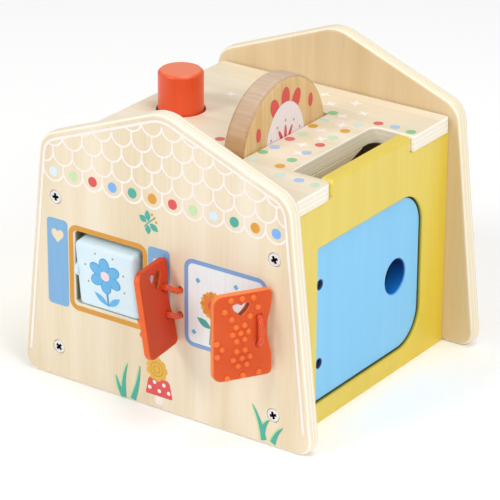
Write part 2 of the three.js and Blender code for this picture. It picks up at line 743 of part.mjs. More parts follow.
function addBlock() {
  const turn = [radians(blockTilt), 0, 0];
  const axleLow = bracketX.left - bracketWidth / 2;
  const axleHigh = bracketX.right + bracketWidth / 2;
  const dowel = pin(blockAxleRadius, axleHigh - axleLow, blockAxleRadius / 5).rotateZ(Math.PI / 2);
  piece(root, "spin_block", spinBlock(), "block", [windowX, blockY, blockZ], turn);
  piece(root, "block_axle", dowel, "dowel", [(axleLow + axleHigh) / 2, blockY, blockZ], turn);
  for (const [side, x] of Object.entries(bracketX)) piece(root, "block_bracket_" + side, bracket(x), "pine");
  for (const [name, x, z] of bracketScrewPlaces) {
    piece(root, "bracket_screw_" + name, screw(bracketScrew), "steel", [x, bracketHeadY, z], [facing.back, 0, 0]);
  }
}

// Flaps and their cords

function heart(width) {
  const shape = new THREE.Shape();
  const x = heartShare * width;
  const [w, h] = [heartWidth / 2, heartHeight];
  const top = heartLow + h;
  const dip = top - h / 5;
  const waist = heartLow + h / 2;
  shape.moveTo(x, heartLow);
  shape.quadraticCurveTo(x + w, waist, x + w, dip);
  shape.bezierCurveTo(x + w, top, x + w / 3, top, x, dip);
  shape.bezierCurveTo(x - w / 3, top, x - w, top, x - w, dip);
  shape.quadraticCurveTo(x - w, waist, x, heartLow);
  return shape;
}

// A flap in its own frame: the hinge axis is z, the free edge lies along x, and its outer face looks to -away * y.
function flap({ away, width }) {
  const waistZ = (cordHoleLow + cordHoleHigh) / 2;
  const outline = roundedOutline([
    [-flapEdgeBack, 0, flapHingeRound], [width, 0, flapCornerRound],
    [width, flapHeight, flapCornerRound], [-flapEdgeBack, flapHeight, flapHingeRound],
    [-flapEdgeBack, waistZ + flapWaistReach, flapWaistRound],
    [flapWaist - flapEdgeBack, waistZ, flapWaistRound],
    [-flapEdgeBack, waistZ - flapWaistReach, flapWaistRound],
  ]);
  const board = acrossY(plate(outline, flapThick, flapEdgeRound, 3));
  const cap = (bumpRadius ** 2 + bumpRise ** 2) / (2 * bumpRise);
  const spread = Math.asin(bumpRadius / cap);
  const dome = turned([
    [0, -bumpRise], [bumpRadius, -bumpRise], [bumpRadius, 0],
    [cap * Math.sin(spread / 2), cap * Math.cos(spread / 2) - cap + bumpRise], [0, bumpRise],
  ], 7);
  if (away > 0) dome.rotateX(Math.PI);
  const bumps = bumpShares.map(([across, up]) =>
    dome.clone().translate(across * width, (-away * flapThick) / 2, up * flapHeight));
  const heartHole = acrossY(plate(heart(width), flapThick + 2 * overrun, 0, 4));
  const cordHoles = [cordHoleLow, cordHoleHigh].map((z) =>
    barY(cordHoleRadius, flapThick + 2 * overrun, 12).translate(cordHoleFromAxis, 0, z));
  return cut(join(board, ...bumps), heartHole, ...cordHoles);
}

// The cord of a flap: from a knot behind the gable through both boards, along the outer face and back.
function cordPath({ away, place, turn, holeX }) {
  const frame = new THREE.Matrix4().makeRotationFromEuler(new THREE.Euler(...turn)).setPosition(...place);
  const onFlap = (out, z) => new THREE.Vector3(cordHoleFromAxis, -away * out, z).applyMatrix4(frame);
  const onGable = (y, rise) => new THREE.Vector3(holeX, y, flapLow + rise);
  const half = flapThick / 2;
  const knotY = innerFront + runGap + knotRadius;
  const end = (rise, z) => [
    onGable(knotY, rise), onGable(gableThick / 2, rise), onGable(-gableThick / 2 - cordRadius, rise),
    onFlap(-half - cordSlack, z), onFlap(-half, z), onFlap(half, z),
  ];
  const low = end(cordGableLow, cordHoleLow);
  const high = end(cordGableHigh, cordHoleHigh).reverse();
  const bulge = [1 / 6, 5 / 6].map((share) =>
    onFlap(half + cordBulge, THREE.MathUtils.lerp(cordHoleLow, cordHoleHigh, share)));
  return [...low, ...bulge, ...high];
}

function hingeCord(flapPlace) {
  const points = cordPath(flapPlace);
  const cord = strand(new THREE.CatmullRomCurve3(points, false, "centripetal"), cordRadius, 44, 8);
  const knots = [points[0], points[points.length - 1]].map((end) =>
    new THREE.SphereGeometry(knotRadius, 8, 6).translate(...end.toArray()));
  return join(cord, ...knots);
}

function addFlaps() {
  for (const place of flaps) {
    piece(root, place.side + "_flap", flap(place), "flap", place.place, place.turn);
    piece(root, place.side + "_hinge_cord", hingeCord(place), "cord");
  }
}

// The house

function addShell() {
  piece(root, "front_gable", frontGable(), "birch");
  piece(root, "back_gable", gable(facing.back), "birch", [0, backY, 0]);
  piece(root, "left_wall", leftWall(), "yellow");
  piece(root, "right_wall", rightWall(), "yellow");
  piece(root, "base_board", baseBoard(), "birch");
  piece(root, "roof_deck", roofDeck(), "birch");
  for (const [name, x, z] of gableScrewPlaces) {
    piece(root, "front_screw_" + name, screw(gableScrew), "steel", [x, frontHeadY, z], [facing.front, 0, 0]);
    piece(root, "back_screw_" + name, screw(gableScrew), "steel", [x, backHeadY, z], [facing.back, 0, 0]);
  }
}

addShell();
addDoor();
addWheel();
addChimney();
addBlock();
addFlaps();

export default root;
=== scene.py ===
import json
from math import asin, atan2, cos, pi, radians, sin, sqrt, tan, tau

import bmesh
import bpy
from mathutils import Matrix, Vector


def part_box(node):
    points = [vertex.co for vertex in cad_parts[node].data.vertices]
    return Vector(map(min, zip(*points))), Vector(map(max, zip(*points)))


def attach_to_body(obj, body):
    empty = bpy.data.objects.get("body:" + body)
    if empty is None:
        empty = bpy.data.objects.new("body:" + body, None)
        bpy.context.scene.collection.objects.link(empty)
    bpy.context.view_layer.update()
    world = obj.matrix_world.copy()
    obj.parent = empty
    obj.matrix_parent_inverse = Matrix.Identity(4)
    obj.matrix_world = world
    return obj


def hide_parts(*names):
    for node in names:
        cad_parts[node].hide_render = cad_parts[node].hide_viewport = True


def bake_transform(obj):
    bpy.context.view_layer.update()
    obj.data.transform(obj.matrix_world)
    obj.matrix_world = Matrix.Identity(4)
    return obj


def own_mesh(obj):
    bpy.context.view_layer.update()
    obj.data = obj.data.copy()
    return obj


# A wooden activity house for a toddler. Metres, +Z up: x runs across the front, y runs back,
# and the origin is the middle of the front gable's underside.
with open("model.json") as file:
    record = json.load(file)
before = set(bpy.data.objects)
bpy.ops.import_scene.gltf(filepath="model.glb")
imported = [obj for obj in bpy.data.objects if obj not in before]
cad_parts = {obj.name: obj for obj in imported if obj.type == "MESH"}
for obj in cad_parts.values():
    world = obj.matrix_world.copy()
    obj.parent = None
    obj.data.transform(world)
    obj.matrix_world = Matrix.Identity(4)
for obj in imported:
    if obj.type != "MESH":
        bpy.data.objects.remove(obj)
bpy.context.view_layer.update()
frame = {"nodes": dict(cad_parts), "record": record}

# Camera at the photograph's viewpoint
CAMERA_PLACE = Vector((0.83955, -1.12701, 0.71675))
CAMERA_TARGET = Vector((-0.003778, 0.0815, 0.063216))
CAMERA_ROLL = radians(0.268)
LENS = 210.35
SENSOR = 36

# Mesh fineness
ARC_STEPS = 12
EDGE_STEPS = 5
ROUND_SIDES = 64
SMALL_SIDES = 32

# Gables
FOOT_HALF = 0.0962
FOOT_ROUND = 0.009
SHOULDER_HALF = 0.081
SHOULDER_HEIGHT = 0.1419
SHOULDER_ROUND = 0.015
PEAK_HEIGHT = 0.1728
PEAK_ROUND = 0.022
GABLE_EDGE = 0.0026
HOLE_EDGE = 0.0004
WINDOW_EDGE = 0.0007
WINDOW_ROUND = 0.0025
WINDOW_LOW = Vector((-0.0585, 0.0492))
WINDOW_HIGH = Vector((-0.013, 0.0918))
# Painted shade on the window's upright cut sides: its tone, and how far it reaches
WINDOW_SHADE = "#8F876B"
WINDOW_SHADE_NEAR = 0.0003
WINDOW_SHADE_FAR = 0.0009
WINDOW_SHADE_DEPTH = 0.002

# Screws: the radius of a head, its pocket in the board and its cross recess
SCREW_HEAD = 0.00365
SCREW_SHANK = 0.0018
SCREW_SINK = 0.0026
SCREW_LENGTH = 0.03
SCREW_POCKET = 0.0041
SCREW_POCKET_DEPTH = 0.0029
SCREW_BELOW = 0.0002
HEAD_CROWN = 0.00025
RECESS_REACH = 0.0029
RECESS_HALF = 0.0009
RECESS_DEPTH = 0.0018
RECESS_TAPER = 0.5
SCREW_X = 0.0712
SCREW_Z = (0.0189, 0.1079)
FRONT_RECESS_TURNS = (0.5, 0.2, 0.08, 0.3)
BACK_RECESS_TURNS = (0.1, 0.6, 0.4, 0.9)

# Walls and their boards
CORNER_ROUND = 0.0006
BOARD_EDGE = 0.0005
WALL_TOP = 0.127
TAB_FRONT = 0.0428
TAB_BACK = 0.1202
TAB_INNER_ROUND = 0.0008
TAB_OUTER_ROUND = 0.0024
TAB_CORNER = 0.0028
TAB_START = 0.0004
DOORWAY_LOW = Vector((0.0303, 0.0115))
DOORWAY_HIGH = Vector((0.134, 0.1023))
DOORWAY_BACK_ROUND = 0.0205
DOORWAY_FRONT_ROUND = 0.0012
DOORWAY_EDGE = 0.0008
REVEAL_DEPTH = 3 * DOORWAY_EDGE

# The yellow deepens towards the rear and the foot in painted shade, along a slope in y and z
REAR_SHADE_FALL_SHARE = 0.8
REAR_SHADE_START = 0
REAR_SHADE_END = 0.12

# Roof deck
DECK_GAP = 0.0009
DECK_EDGE = 0.0009
DECK_CORNER = 0.0025
NOTCH_X = 0.05
NOTCH_FRONT = 0.0425
NOTCH_BACK = 0.1205
NOTCH_ROUND = 0.005
NOTCH_FRONT_ROUND = 0.0015
STRIP_FRONT_ROUND = 0.0065
STRIP_BACK_ROUND = 0.0016
SLOT_LOW = Vector((0.0042, 0.0405))
SLOT_HIGH = Vector((0.0198, 0.1225))
CHIMNEY_PLACE = Vector((-0.0505, 0.0815))
CHIMNEY_HOLE = 0.01375

# The batten below the deck that carries the notch's inner side further down, with a slanted rear end
BATTEN_THICK = 0.003
BATTEN_DEPTH = 0.009
BATTEN_FRONT = 0.04
BATTEN_REAR_LOW = 0.084
BATTEN_REAR_HIGH = 0.111

# Door
DOOR_BACK_ROUND = 0.0197
DOOR_FRONT_ROUND = 0.0022
DOOR_EDGE = 0.0007
HINGE_EDGE = 0.0041
HINGE_EDGE_REACH = 0.0015
FINGER_PLACE = Vector((0.11, 0.0569))
FINGER_RADIUS = 0.01
FINGER_EDGE = 0.0012
WELL_Y = 0.0352
WELL_Z = (0.03395, 0.07985)
WELL_RADIUS = 0.0027
WELL_DEPTH = 0.0011

# Wheel and chimney
WHEEL_CENTRE = Vector((0.0815, 0.1298))
WHEEL_RADIUS = 0.04
WHEEL_EDGE = 0.003
WHEEL_BORE = 0.0033
CHIMNEY_RADIUS = 0.0127
CHIMNEY_EDGE = 0.0016
CHIMNEY_SOFT = 0.00035
SPRING_TURNS = 7
SPRING_WIRE = 0.00065
SPRING_STEPS = 24

# Block behind the window
BLOCK_CENTRE = Vector((-0.03575, 0.0121, 0.0709))
BLOCK_SIZE = Vector((0.04, 0.039, 0.039))
BLOCK_TILT = radians(6.5)
BLOCK_ROUND = 0.003
BLOCK_ROUND_STEPS = 6
BOSS_RADIUS = 0.0045
BOSS_RISE = 0.0022
BOSS_INSET = 0.0036
BOSS_RISE_ALONG = 0.0016

# Flaps: a flap's own frame has the hinge axis along z, x towards its free edge and y across its thickness
FLAP_PLACES = {"left": Vector((0.0091, -0.0071, 0.0443)), "right": Vector((0.0692, -0.0071, 0.0443))}
LEFT_LEAN = radians(-9)
LEFT_TURN = radians(-82)
RIGHT_TURN = radians(238)
FLAP_TURNS = {"left": (LEFT_LEAN, LEFT_TURN), "right": (0, RIGHT_TURN)}
FLAP_FACING = (-sin(RIGHT_TURN), cos(RIGHT_TURN), 0)
FLAP_WIDTHS = {"left": 0.0282475, "right": 0.0312525}
FLAP_AWAY = {"left": 1, "right": -1}
FLAP_BACK = 0.002
FLAP_HEIGHT = 0.0489
FLAP_THICK = 0.004
FLAP_ROUND = 0.0055
FLAP_HINGE_ROUND = 0.003
FLAP_WAIST = 0.0034
FLAP_WAIST_REACH = 0.015
FLAP_WAIST_ROUND = 0.028
FLAP_EDGE = 0.0012
HEART_WIDTHS = {"left": 0.0108, "right": 0.0093}
HEART_HEIGHTS = {"left": 0.0098, "right": 0.0077}
HEART_SHARES = {"left": 0.43, "right": 0.5}
HEART_LOWS = {"left": 0.0352, "right": 0.036}
HEART_DIP_SHARE = 0.8
HEART_LOBE_SHARE = 1 / 3
HEART_RIM = 0.0007
HEART_RIM_RISE = 0.0003
BUMP_RADIUS = 0.0017
BUMP_RISE = 0.0016
BUMP_SHIFT_SHARE = -0.04
BUMP_SHARES = [
    (0.72, 0.935), (0.52, 0.935), (0.32, 0.93), (0.24, 0.81), (0.38, 0.725), (0.83, 0.815), (0.71, 0.72),
    (0.63, 0.62), (0.48, 0.63), (0.41, 0.555), (0.545, 0.545), (0.69, 0.54), (0.48, 0.47), (0.62, 0.46),
    (0.97, 0.46), (0.88, 0.39), (0.96, 0.31), (0.47, 0.345), (0.62, 0.34), (0.38, 0.26), (0.525, 0.255),
    (0.68, 0.245), (0.44, 0.175), (0.595, 0.17), (0.22, 0.06), (0.5, 0.05), (0.78, 0.04),
]

# Hinge cords: a loop through two holes of the gable and two of the flap, with a knot at each end
CORD_RADIUS = 0.0017
CORD_HOLE = 0.0019
CORD_FROM_AXIS = 0.0055
CORD_LOW = 0.0186
CORD_HIGH = 0.034
CORD_BULGE = 0.0024
CORD_SLACK = 0.0022
BULGE_SHARES = (1 / 6, 5 / 6)
GABLE_HOLE_SHIFTS = {"left": 0.0025, "right": 0.004}
GABLE_HOLE_LOW = 0.0164
GABLE_HOLE_HIGH = 0.031
KNOT_RADIUS = 0.0026
KNOT_CORD = 0.0009
KNOT_GAP = 0.0004
KNOT_STEPS = 60
STRANDS = 4
STRAND_SHARE = 0.07
STRAND_PITCH = 0.007
CORD_SIDES = 20
CORD_STEPS = 9

# Prints on the boards
PRINT_LIFT = 0.00006
LAYER_STEP = 0.000008
LINE_INSET = 0.0041
LINE_WIDTH = 0.0016
LINE_START = 0.013
SCALE_PITCH = 0.01312
SCALE_SHIFT = 0.0004
SCALE_STEP = 0.01013
SCALE_LOW = 0.1174
SCALE_WIDTH = 0.0012
SCALE_COUNT = 12
SCALE_ROWS = 5
DOT_RADIUS = 0.0029
DOT_HEIGHT = 0.1228
DOT_COLOURS = ["ice", "mint", "red", "blue", "teal", "amber", "red", "mint", "ice", "teal", "amber", "blue"]
FRAME_LOW = Vector((-0.0625, 0.0447))
FRAME_HIGH = Vector((-0.0098, 0.0949))
FRAME_WIDTH = 0.003
FRAME_ROUND = 0.0058
PICTURE_LOW = Vector((0.0144, 0.0447))
PICTURE_HIGH = Vector((0.0674, 0.0953))
PICTURE_LINE = 0.0025
PICTURE_ROUND = 0.006
SHUTTER_X = ((-0.0773, -0.0631), (-0.0093, 0.005))
SHUTTER_Z = (0.0447, 0.0955)
SHUTTER_ROUND = 0.0025
SHUTTER_HEART = 0.0084
HEART_WAVES = (0.8, 0.28, 0.12, 0.05)
SHUTTER_HEART_HEIGHT = 0.0082
SHUTTER_HEART_LOW = 0.0812
ROOF_LINE_LEVEL = 7
GRASS_WIDTH = 0.0036
GRASS_SHIFT = 0.0011
BLADE_TAPER = 0.7
GRASS = [
    ((-0.0265, 0.0016), (-0.0317, 0.0136), 0.0008), ((-0.0265, 0.0016), (-0.0235, 0.023), 0.0012),
    ((-0.0203, 0.0017), (-0.0152, 0.0238), -0.0008), ((0.0658, 0.0029), (0.0583, 0.0225), -0.001),
    ((0.065, 0.008), (0.0695, 0.0158), 0.0008), ((0.0715, 0.0026), (0.0781, 0.0137), 0.001),
]
SPRIG_PLACE = Vector((-0.009, 0.1085))
SPRIG_LEAVES = [
    ((0.0003, 0.0008), (-0.0008, 0.0072)), ((0.0009, -0.0002), (0.0066, -0.0036)),
    ((-0.0009, 0.0002), (-0.0058, 0.0032)), ((-0.0003, -0.0011), (0.0002, -0.0066)),
]
SPRIG_WIDTH = 0.0037
SPRIG_STEM = [(-0.0026, -0.0028), (0, 0), (0.0038, 0.0032)]
SPRIG_LINE = 0.0008
SPRIG_BERRIES = [(0.0042, 0.0036), (0.0054, 0.0014), (0.0026, 0.0052)]
SPRIG_BERRY = 0.0007
POT_FOOT_LOW = Vector((-0.0055, 0.0035))
POT_FOOT_HIGH = Vector((-0.0002, 0.0095))
POT_FOOT_ROUND = 0.0015
POT_CORNERS = [
    (-0.0118, 0.0085, 0.0008), (0.0062, 0.0085, 0.0008), (0.004, 0.0192, 0.003), (-0.0096, 0.0192, 0.003),
]
POT_DOT = 0.00115
POT_DOTS = [(-0.009, 0.0125), (-0.0058, 0.0163), (-0.0026, 0.0117), (0.0004, 0.0159), (0.0036, 0.0119)]
POT_STEM_LOW = Vector((-0.0028, 0.018))
POT_FLOWER = Vector((-0.0042, 0.0243))
POT_FLOWER_RADIUS = 0.0056
POT_PETALS = 9
POT_PETAL_START = 0.0035
POT_PETAL_LENGTH = 0.0036
POT_PETAL_WIDTH = 0.0042
POT_RINGS = (0.0018, 0.0038)
POT_RING = 0.0006
DAISY_PLACE = Vector((0.033, 0.0715))
DAISY_STEM = [Vector((0.031, 0.0485)), Vector((0.0318, 0.058)), Vector((0.033, 0.0715))]
DAISY_LINE = 0.0015
DAISY_LEAF = 0.0042
DAISY_LEAVES = [(0.0225, 0.0625), (0.0412, 0.0635)]
DAISY_PETALS = 9
DAISY_START = 0.002
DAISY_LENGTH = 0.0062
DAISY_WIDTH = 0.0036
DAISY_CENTRE = 0.003
DIAMOND_REACH = 0.0017
DIAMOND_SIDES = 4
DIAMONDS = [(0.0475, 0.0862), (0.0232, 0.0838), (0.0205, 0.0535)]
DECK_DOT = 0.0028
DECK_DOTS = {
    "red": [(0.024, 0.0786), (0.0419, 0.0808), (0.0502, 0.1255), (-0.0065, 0.0568)],
    "blue": [(0.024, 0.0645), (0.0422, 0.0675), (0.0603, 0.0337), (0.0604, 0.1263)],
    "green": [(0.0229, 0.0549), (0.0417, 0.0546), (0.0215, 0.1241), (0.0713, 0.1251)],
    "amber": [(0.0413, 0.044), (0.0234, 0.1016), (0.0416, 0.1055)],
    "mint": [(0.0706, 0.0332), (0.0256, 0.0887), (0.0416, 0.0937)],
    "cyan": [(0.0483, 0.0339), (0.0242, 0.0438), (0.0234, 0.1134), (0.0421, 0.1177)],
}
DECK_STAR = 0.0045
STAR_WAIST_SHARE = 0.36
DECK_STARS = [
    (0.002, 0.1452), (0.0131, 0.1349), (0.0237, 0.1437), (0.0284, 0.1232), (0.0356, 0.1331),
    (0.0354, 0.1119), (0.0303, 0.0989), (0.0375, 0.0881), (0.0343, 0.0756), (0.0391, 0.0646),
    (-0.0407, 0.115),
]
ROSETTE_HALF = Vector((0.0185, 0.026))
ROSETTE_ANGLES = (68, 90, 112, 248, 270, 292)
ROSETTE_OVERLAP = 0.004
ROSETTE_LENGTH = 0.0125
ROSETTE_WIDTH = 0.0078
ROSETTE_DROPS = [(0.0292, 150), (0.0312, 40), (0.0292, 210), (0.0312, 320)]
ROSETTE_DROP = 0.008
ROSETTE_DROP_WIDTH = 0.0044
ROSETTE_SPOT_COUNT = 12
ROSETTE_SPOT_RING = 0.0156
ROSETTE_SPOT = 0.0008
ROSETTE_INNER_ANGLES = (60, 90, 120, 240, 270, 300)
ROSETTE_INNER_START = 0.0035
ROSETTE_INNER = 0.0095
ROSETTE_INNER_WIDTH = 0.0024
BLOOM_PLACE = Vector((0, 0.003))
BLOOM_FOOT = Vector((0.0005, -0.0155))
BLOOM_STEM = 0.0014
BLOOM_PETALS = 6
BLOOM_TURN = radians(30)
BLOOM_START = 0.0026
BLOOM_LENGTH = 0.0078
BLOOM_WIDTH = 0.0058
BLOOM_LINE = 0.0006
BLOOM_CENTRE = 0.0029
BLOOM_LEAF = 0.0036
BLOOM_LEAVES = [(-0.0085, -0.0085), (0.0088, -0.0088)]
BLOOM_SPOT = 0.0006
BLOOM_SPOTS = [
    (-0.013, 0.004), (-0.0118, -0.006), (0.0125, 0.0035), (0.0122, -0.007), (-0.0055, 0.0125),
    (0.0062, 0.0122),
]

INKS = {
    "white": "#FBF2EB", "ice": "#DDEEF6", "mint": "#CBE6B4", "red": "#E2504F", "blue": "#7DB4F5",
    "teal": "#47B0A0", "amber": "#E29F2B", "sky": "#7DB1DC", "frame": "#DC9A2C", "line": "#80ABDF",
    "ground": "#F1FBFB", "pink": "#F5DDE2", "blush": "#F7EEF1", "leaf": "#55B29A", "lime": "#C2E3A2",
    "sun": "#E9B53A", "petal": "#63B7EA", "petal_line": "#4C9FDB", "gold": "#C79A3A", "orange": "#E8893A",
}
DECK_INKS = {
    "white": "#FDF5EE", "red": "#DC6A63", "blue": "#A9C9EE", "green": "#86C794", "amber": "#DFA535",
    "mint": "#C6E6C4", "cyan": "#CFE7DF",
}

# Woods: each grain gives the width, length and detail of its streaks
BIRCH_GRAIN = {"broad": (0.017, 0.3, 3), "fine": (0.0011, 0.03, 5), "share": 0.75}
PAINT_GRAIN = {"broad": (0.012, 0.2, 3), "fine": (0.0009, 0.02, 4), "share": 0.7}
BEECH_GRAIN = {"broad": (0.0035, 0.09, 2), "fine": (0.0006, 0.02, 5), "share": 0.7}
SOLID_GRAIN = (0.0007, 0.012, 5)
INK_GRAIN = (0.0016, 0.04, 4)
BIRCH_STOPS = (0.33, 0.47, 0.58, 0.7)
BIRCH_FACES = ("#E2D0AC", "#EADABB", "#EFE1C6", "#F3E8D2")
# The back gable's faces are a darker, warmer copy of the birch: painted shade and warm bounce light
BACK_SHADED_FACES = ("#DFC595", "#E5CCA2", "#E9D3AB", "#EDDAB6")
DECK_FACES = ("#E2D3B4", "#EADDC3", "#EFE4CE", "#F3EADA")
BIRCH_PLIES = ("#F8EFDA", "#EFE0C0", "#DEC9A0")
FRONT_PLIES = ("#FBF4E4", "#F3E7CC", "#E6D5B2")
BACK_PLIES = ("#FBF1DA", "#F3E4C2", "#E6D2A8")
DECK_PLIES = ("#FDF8EC", "#F8EFDC", "#EADCC0")
PLIES = 7
PLY_START = 0.1
PLY_END = 0.88
GLUE_LINE = 0.99
PLY_WAVE = 0.02
PLY_WANDER = 0.1
RIM_BANDS = (40, 620, 620)
PINE_RINGS = 0.005
DOWEL_RINGS = 0.004
SOLID_STOPS = (0.25, 0.5, 0.75)
RING_STRETCH = 0.35
RING_RUN = 0.05
RING_WAVE = {"Scale": 0.32, "Distortion": 2.6, "Detail": 2, "Detail Scale": 0.9}

# Scales of the other surfaces, and the depth of each one's relief
COAT_ROUGHNESS = 0.3
MOTTLE_SCALE = 45
SKIN_SCALE = 1600
THREAD_SCALE = 2600
ZINC_SCALE = 700
ZINC_WEAR = 0.2
WOOD_RELIEF = 0.00008
PAINT_RELIEF = 0.00006
SOLID_RELIEF = 0.00009
SKIN_RELIEF = 0.00003
THREAD_RELIEF = 0.0001
# How far the painted shade in the door's holes runs
WELL_SHADE_LOW = 0.9
WELL_SHADE_HIGH = 0.4
# How far the painted shade at the left flap's hinge runs, and how its border wanders
HINGE_SHADE_SHARE = 0.8
HINGE_SHADE_WANDER = 0.004

# Floor and light
FLOOR_SIZE = 6
FLOOR_GLOW = 0.06
WORLD_STRENGTH = 0.45
LIGHTS = [
    ("key light", (-0.75, -1.6, 1.6), 0.9, 17),
    ("fill light", (1.8, -0.75, 1.4), 1, 13.5),
    ("top light", (0.5, 0.1, 2.05), 1.3, 14.5),
]


def axes(origin, u, v, w):
    """A matrix from a board's own u, v, w to the row frame."""
    made = Matrix((Vector(u), Vector(v), Vector(w))).transposed().to_4x4()
    made.translation = Vector(origin)
    return made


# Outlines

def outline(corners):
    """The points of a closed outline through corners (x, y, radius), counter-clockwise."""
    points = []
    for i, (x, y, radius) in enumerate(corners):
        here = Vector((x, y))
        back = (Vector(corners[i - 1][:2]) - here).normalized()
        ahead = (Vector(corners[(i + 1) % len(corners)][:2]) - here).normalized()
        half = back.angle(ahead) / 2
        centre = here + (back + ahead).normalized() * radius / sin(half)
        first = here + back * radius / tan(half) - centre
        last = here + ahead * radius / tan(half) - centre
        start = atan2(first.y, first.x)
        sweep = (atan2(last.y, last.x) - start + pi) % tau - pi
        points += [centre + polar(radius, start + sweep * k / ARC_STEPS) for k in range(ARC_STEPS + 1)]
    return points


def polar(radius, angle):
    return Vector((radius * cos(angle), radius * sin(angle)))


def rectangle(low, high, radius):
    corners = [(low.x, low.y), (high.x, low.y), (high.x, high.y), (low.x, high.y)]
    return outline([(x, y, radius) for x, y in corners])


def circle(centre, radius, sides=ROUND_SIDES):
    return [Vector(centre) + polar(radius, tau * i / sides) for i in range(sides)]


def hole(points):
    """An outline turned the other way, so that the solid lies outside it."""
    return points[::-1]


def heart(centre_x, low, width, height):
    """A heart that stands on its point."""
    half = width / 2
    dip = low + height * HEART_DIP_SHARE
    top = low + height
    shares = [i / ARC_STEPS for i in range(ARC_STEPS)]
    side = [bezier([(0, low), (half, low + height / 2), (half, dip)], t) for t in shares]
    lobe = [bezier([(half, dip), (half, top), (half * HEART_LOBE_SHARE, top), (0, dip)], t) for t in shares]
    right = [Vector((centre_x + x, z)) for x, z in side + lobe]
    left = [Vector((2 * centre_x - p.x, p.y)) for p in right[:0:-1]]
    return right + [Vector((centre_x, dip))] + left


def bezier(controls, share):
    """The point at a share of the way along a curve with any number of control points."""
    spots = [Vector(spot) for spot in controls]
    while len(spots) > 1:
        spots = [first.lerp(second, share) for first, second in zip(spots, spots[1:])]
    return spots[0]


def plump_heart(centre_x, low, width, height):
    """A printed heart with full lobes."""
    spots = []
    for i in range(4 * ARC_STEPS):
        t = tau * i / (4 * ARC_STEPS)
        waves = [share * cos((k + 1) * t) for k, share in enumerate(HEART_WAVES)]
        spots.append((sin(t) ** 3, waves[0] - sum(waves[1:])))
    lowest = min(up for _, up in spots)
    tall = max(up for _, up in spots) - lowest
    return [Vector((centre_x - width / 2 * across, low + height * (up - lowest) / tall))
            for across, up in spots]


def inset(points, moves):
    """The points of a closed outline moved to their left, each by its own distance."""
    moved = []
    for i, here in enumerate(points):
        before = (here - points[i - 1]).normalized()
        after = (points[(i + 1) % len(points)] - here).normalized()
        first = Vector((-before.y, before.x))
        second = Vector((-after.y, after.x))
        moved.append(here + (first + second) * moves[i] / (1 + first.dot(second)))
    return moved


# Meshes

def bridge(bm, lower, upper):
    for i in range(len(lower)):
        bm.faces.new((lower[i - 1], lower[i], upper[i], upper[i - 1]))


def ring_edges(bm, ring):
    return [bm.edges.get((ring[i - 1], ring[i])) for i in range(len(ring))]


def loop(points, edge, upper_edge=None, floor=None):
    """One outline of a board, with the rounding of its lower and upper edge. A floor makes it a pocket."""
    count = len(points)
    lower = edge if isinstance(edge, list) else [edge] * count
    upper = lower if upper_edge is None else upper_edge
    return {"points": points, "lower": lower, "upper": upper, "floor": floor}


def loop_rings(shape, thick):
    """The rings of a loop from the lower face to the upper one: for each, its inset and its level."""
    quarter = [pi / 2 * i / EDGE_STEPS for i in range(EDGE_STEPS + 1)]
    if shape["floor"] is None:
        rings = [([r * (1 - sin(a)) for r in shape["lower"]],
                  [r * (1 - cos(a)) for r in shape["lower"]]) for a in quarter]
    else:
        rings = [([0] * len(shape["points"]), [shape["floor"]] * len(shape["points"]))]
    rings += [([r * (1 - sin(a)) for r in shape["upper"]],
               [thick - r * (1 - cos(a)) for r in shape["upper"]]) for a in reversed(quarter)]
    return rings


def add_board(bm, thick, loops, place):
    """A board of one thickness with rounded edges, holes and pockets."""
    low_edges, high_edges = [], []
    for shape in loops:
        rings = [[bm.verts.new(place @ Vector((*p, level)))
                  for p, level in zip(inset(shape["points"], moves), levels)]
                 for moves, levels in loop_rings(shape, thick)]
        for lower, upper in zip(rings, rings[1:]):
            bridge(bm, lower, upper)
        high_edges += ring_edges(bm, rings[-1])
        if shape["floor"] is None:
            low_edges += ring_edges(bm, rings[0])
        else:
            bm.faces.new(rings[0])
    for edges in (low_edges, high_edges):
        bmesh.ops.triangle_fill(bm, use_beauty=True, edges=edges)


def add_turned(bm, profile, place, sides=ROUND_SIDES):
    """A turned form about its own z through (radius, height) points; a radius of zero closes an end."""
    rings = []
    for radius, height in profile:
        count = sides if radius else 1
        spots = circle((0, 0), radius, count)
        rings.append([bm.verts.new(place @ Vector((*spot, height))) for spot in spots])
    for lower, upper in zip(rings, rings[1:]):
        if len(lower) == len(upper):
            bridge(bm, lower, upper)
            continue
        tip, ring = (lower, upper) if len(lower) == 1 else (upper, lower)
        for i in range(len(ring)):
            bm.faces.new((ring[i - 1], ring[i], tip[0]))


def add_tube(bm, points, radius, strands=0):
    """A round cord along points, with its strands twisted round it."""
    count = len(points)
    side = (points[1] - points[0]).orthogonal()
    travelled = 0
    rings = []
    for i, here in enumerate(points):
        ahead = (points[min(i + 1, count - 1)] - points[max(i - 1, 0)]).normalized()
        side = (side - ahead * side.dot(ahead)).normalized()
        up = ahead.cross(side)
        travelled += (here - points[max(i - 1, 0)]).length
        twist = tau * travelled / STRAND_PITCH
        ring = []
        for k in range(CORD_SIDES):
            angle = tau * k / CORD_SIDES
            reach = radius * (1 - STRAND_SHARE * (1 + cos(strands * angle - twist)) * bool(strands))
            ring.append(bm.verts.new(here + (side * cos(angle) + up * sin(angle)) * reach))
        rings.append(ring)
    for lower, upper in zip(rings, rings[1:]):
        bridge(bm, lower, upper)
    bm.faces.new(rings[0])
    bm.faces.new(rings[-1])


def linked(name, data):
    made = bpy.data.objects.new(name, data)
    bpy.context.scene.collection.objects.link(made)
    return made


def mesh_object(name, bm):
    mesh = bpy.data.meshes.new(name)
    bm.to_mesh(mesh)
    bm.free()
    return linked(name, mesh)


def finished(name, bm):
    """The mesh as a smooth object whose flat faces stay flat."""
    bmesh.ops.recalc_face_normals(bm, faces=bm.faces)
    made = mesh_object(name, bm)
    made.data.shade_smooth()
    weighted = made.modifiers.new("flat faces", "WEIGHTED_NORMAL")
    weighted.keep_sharp = True
    return made


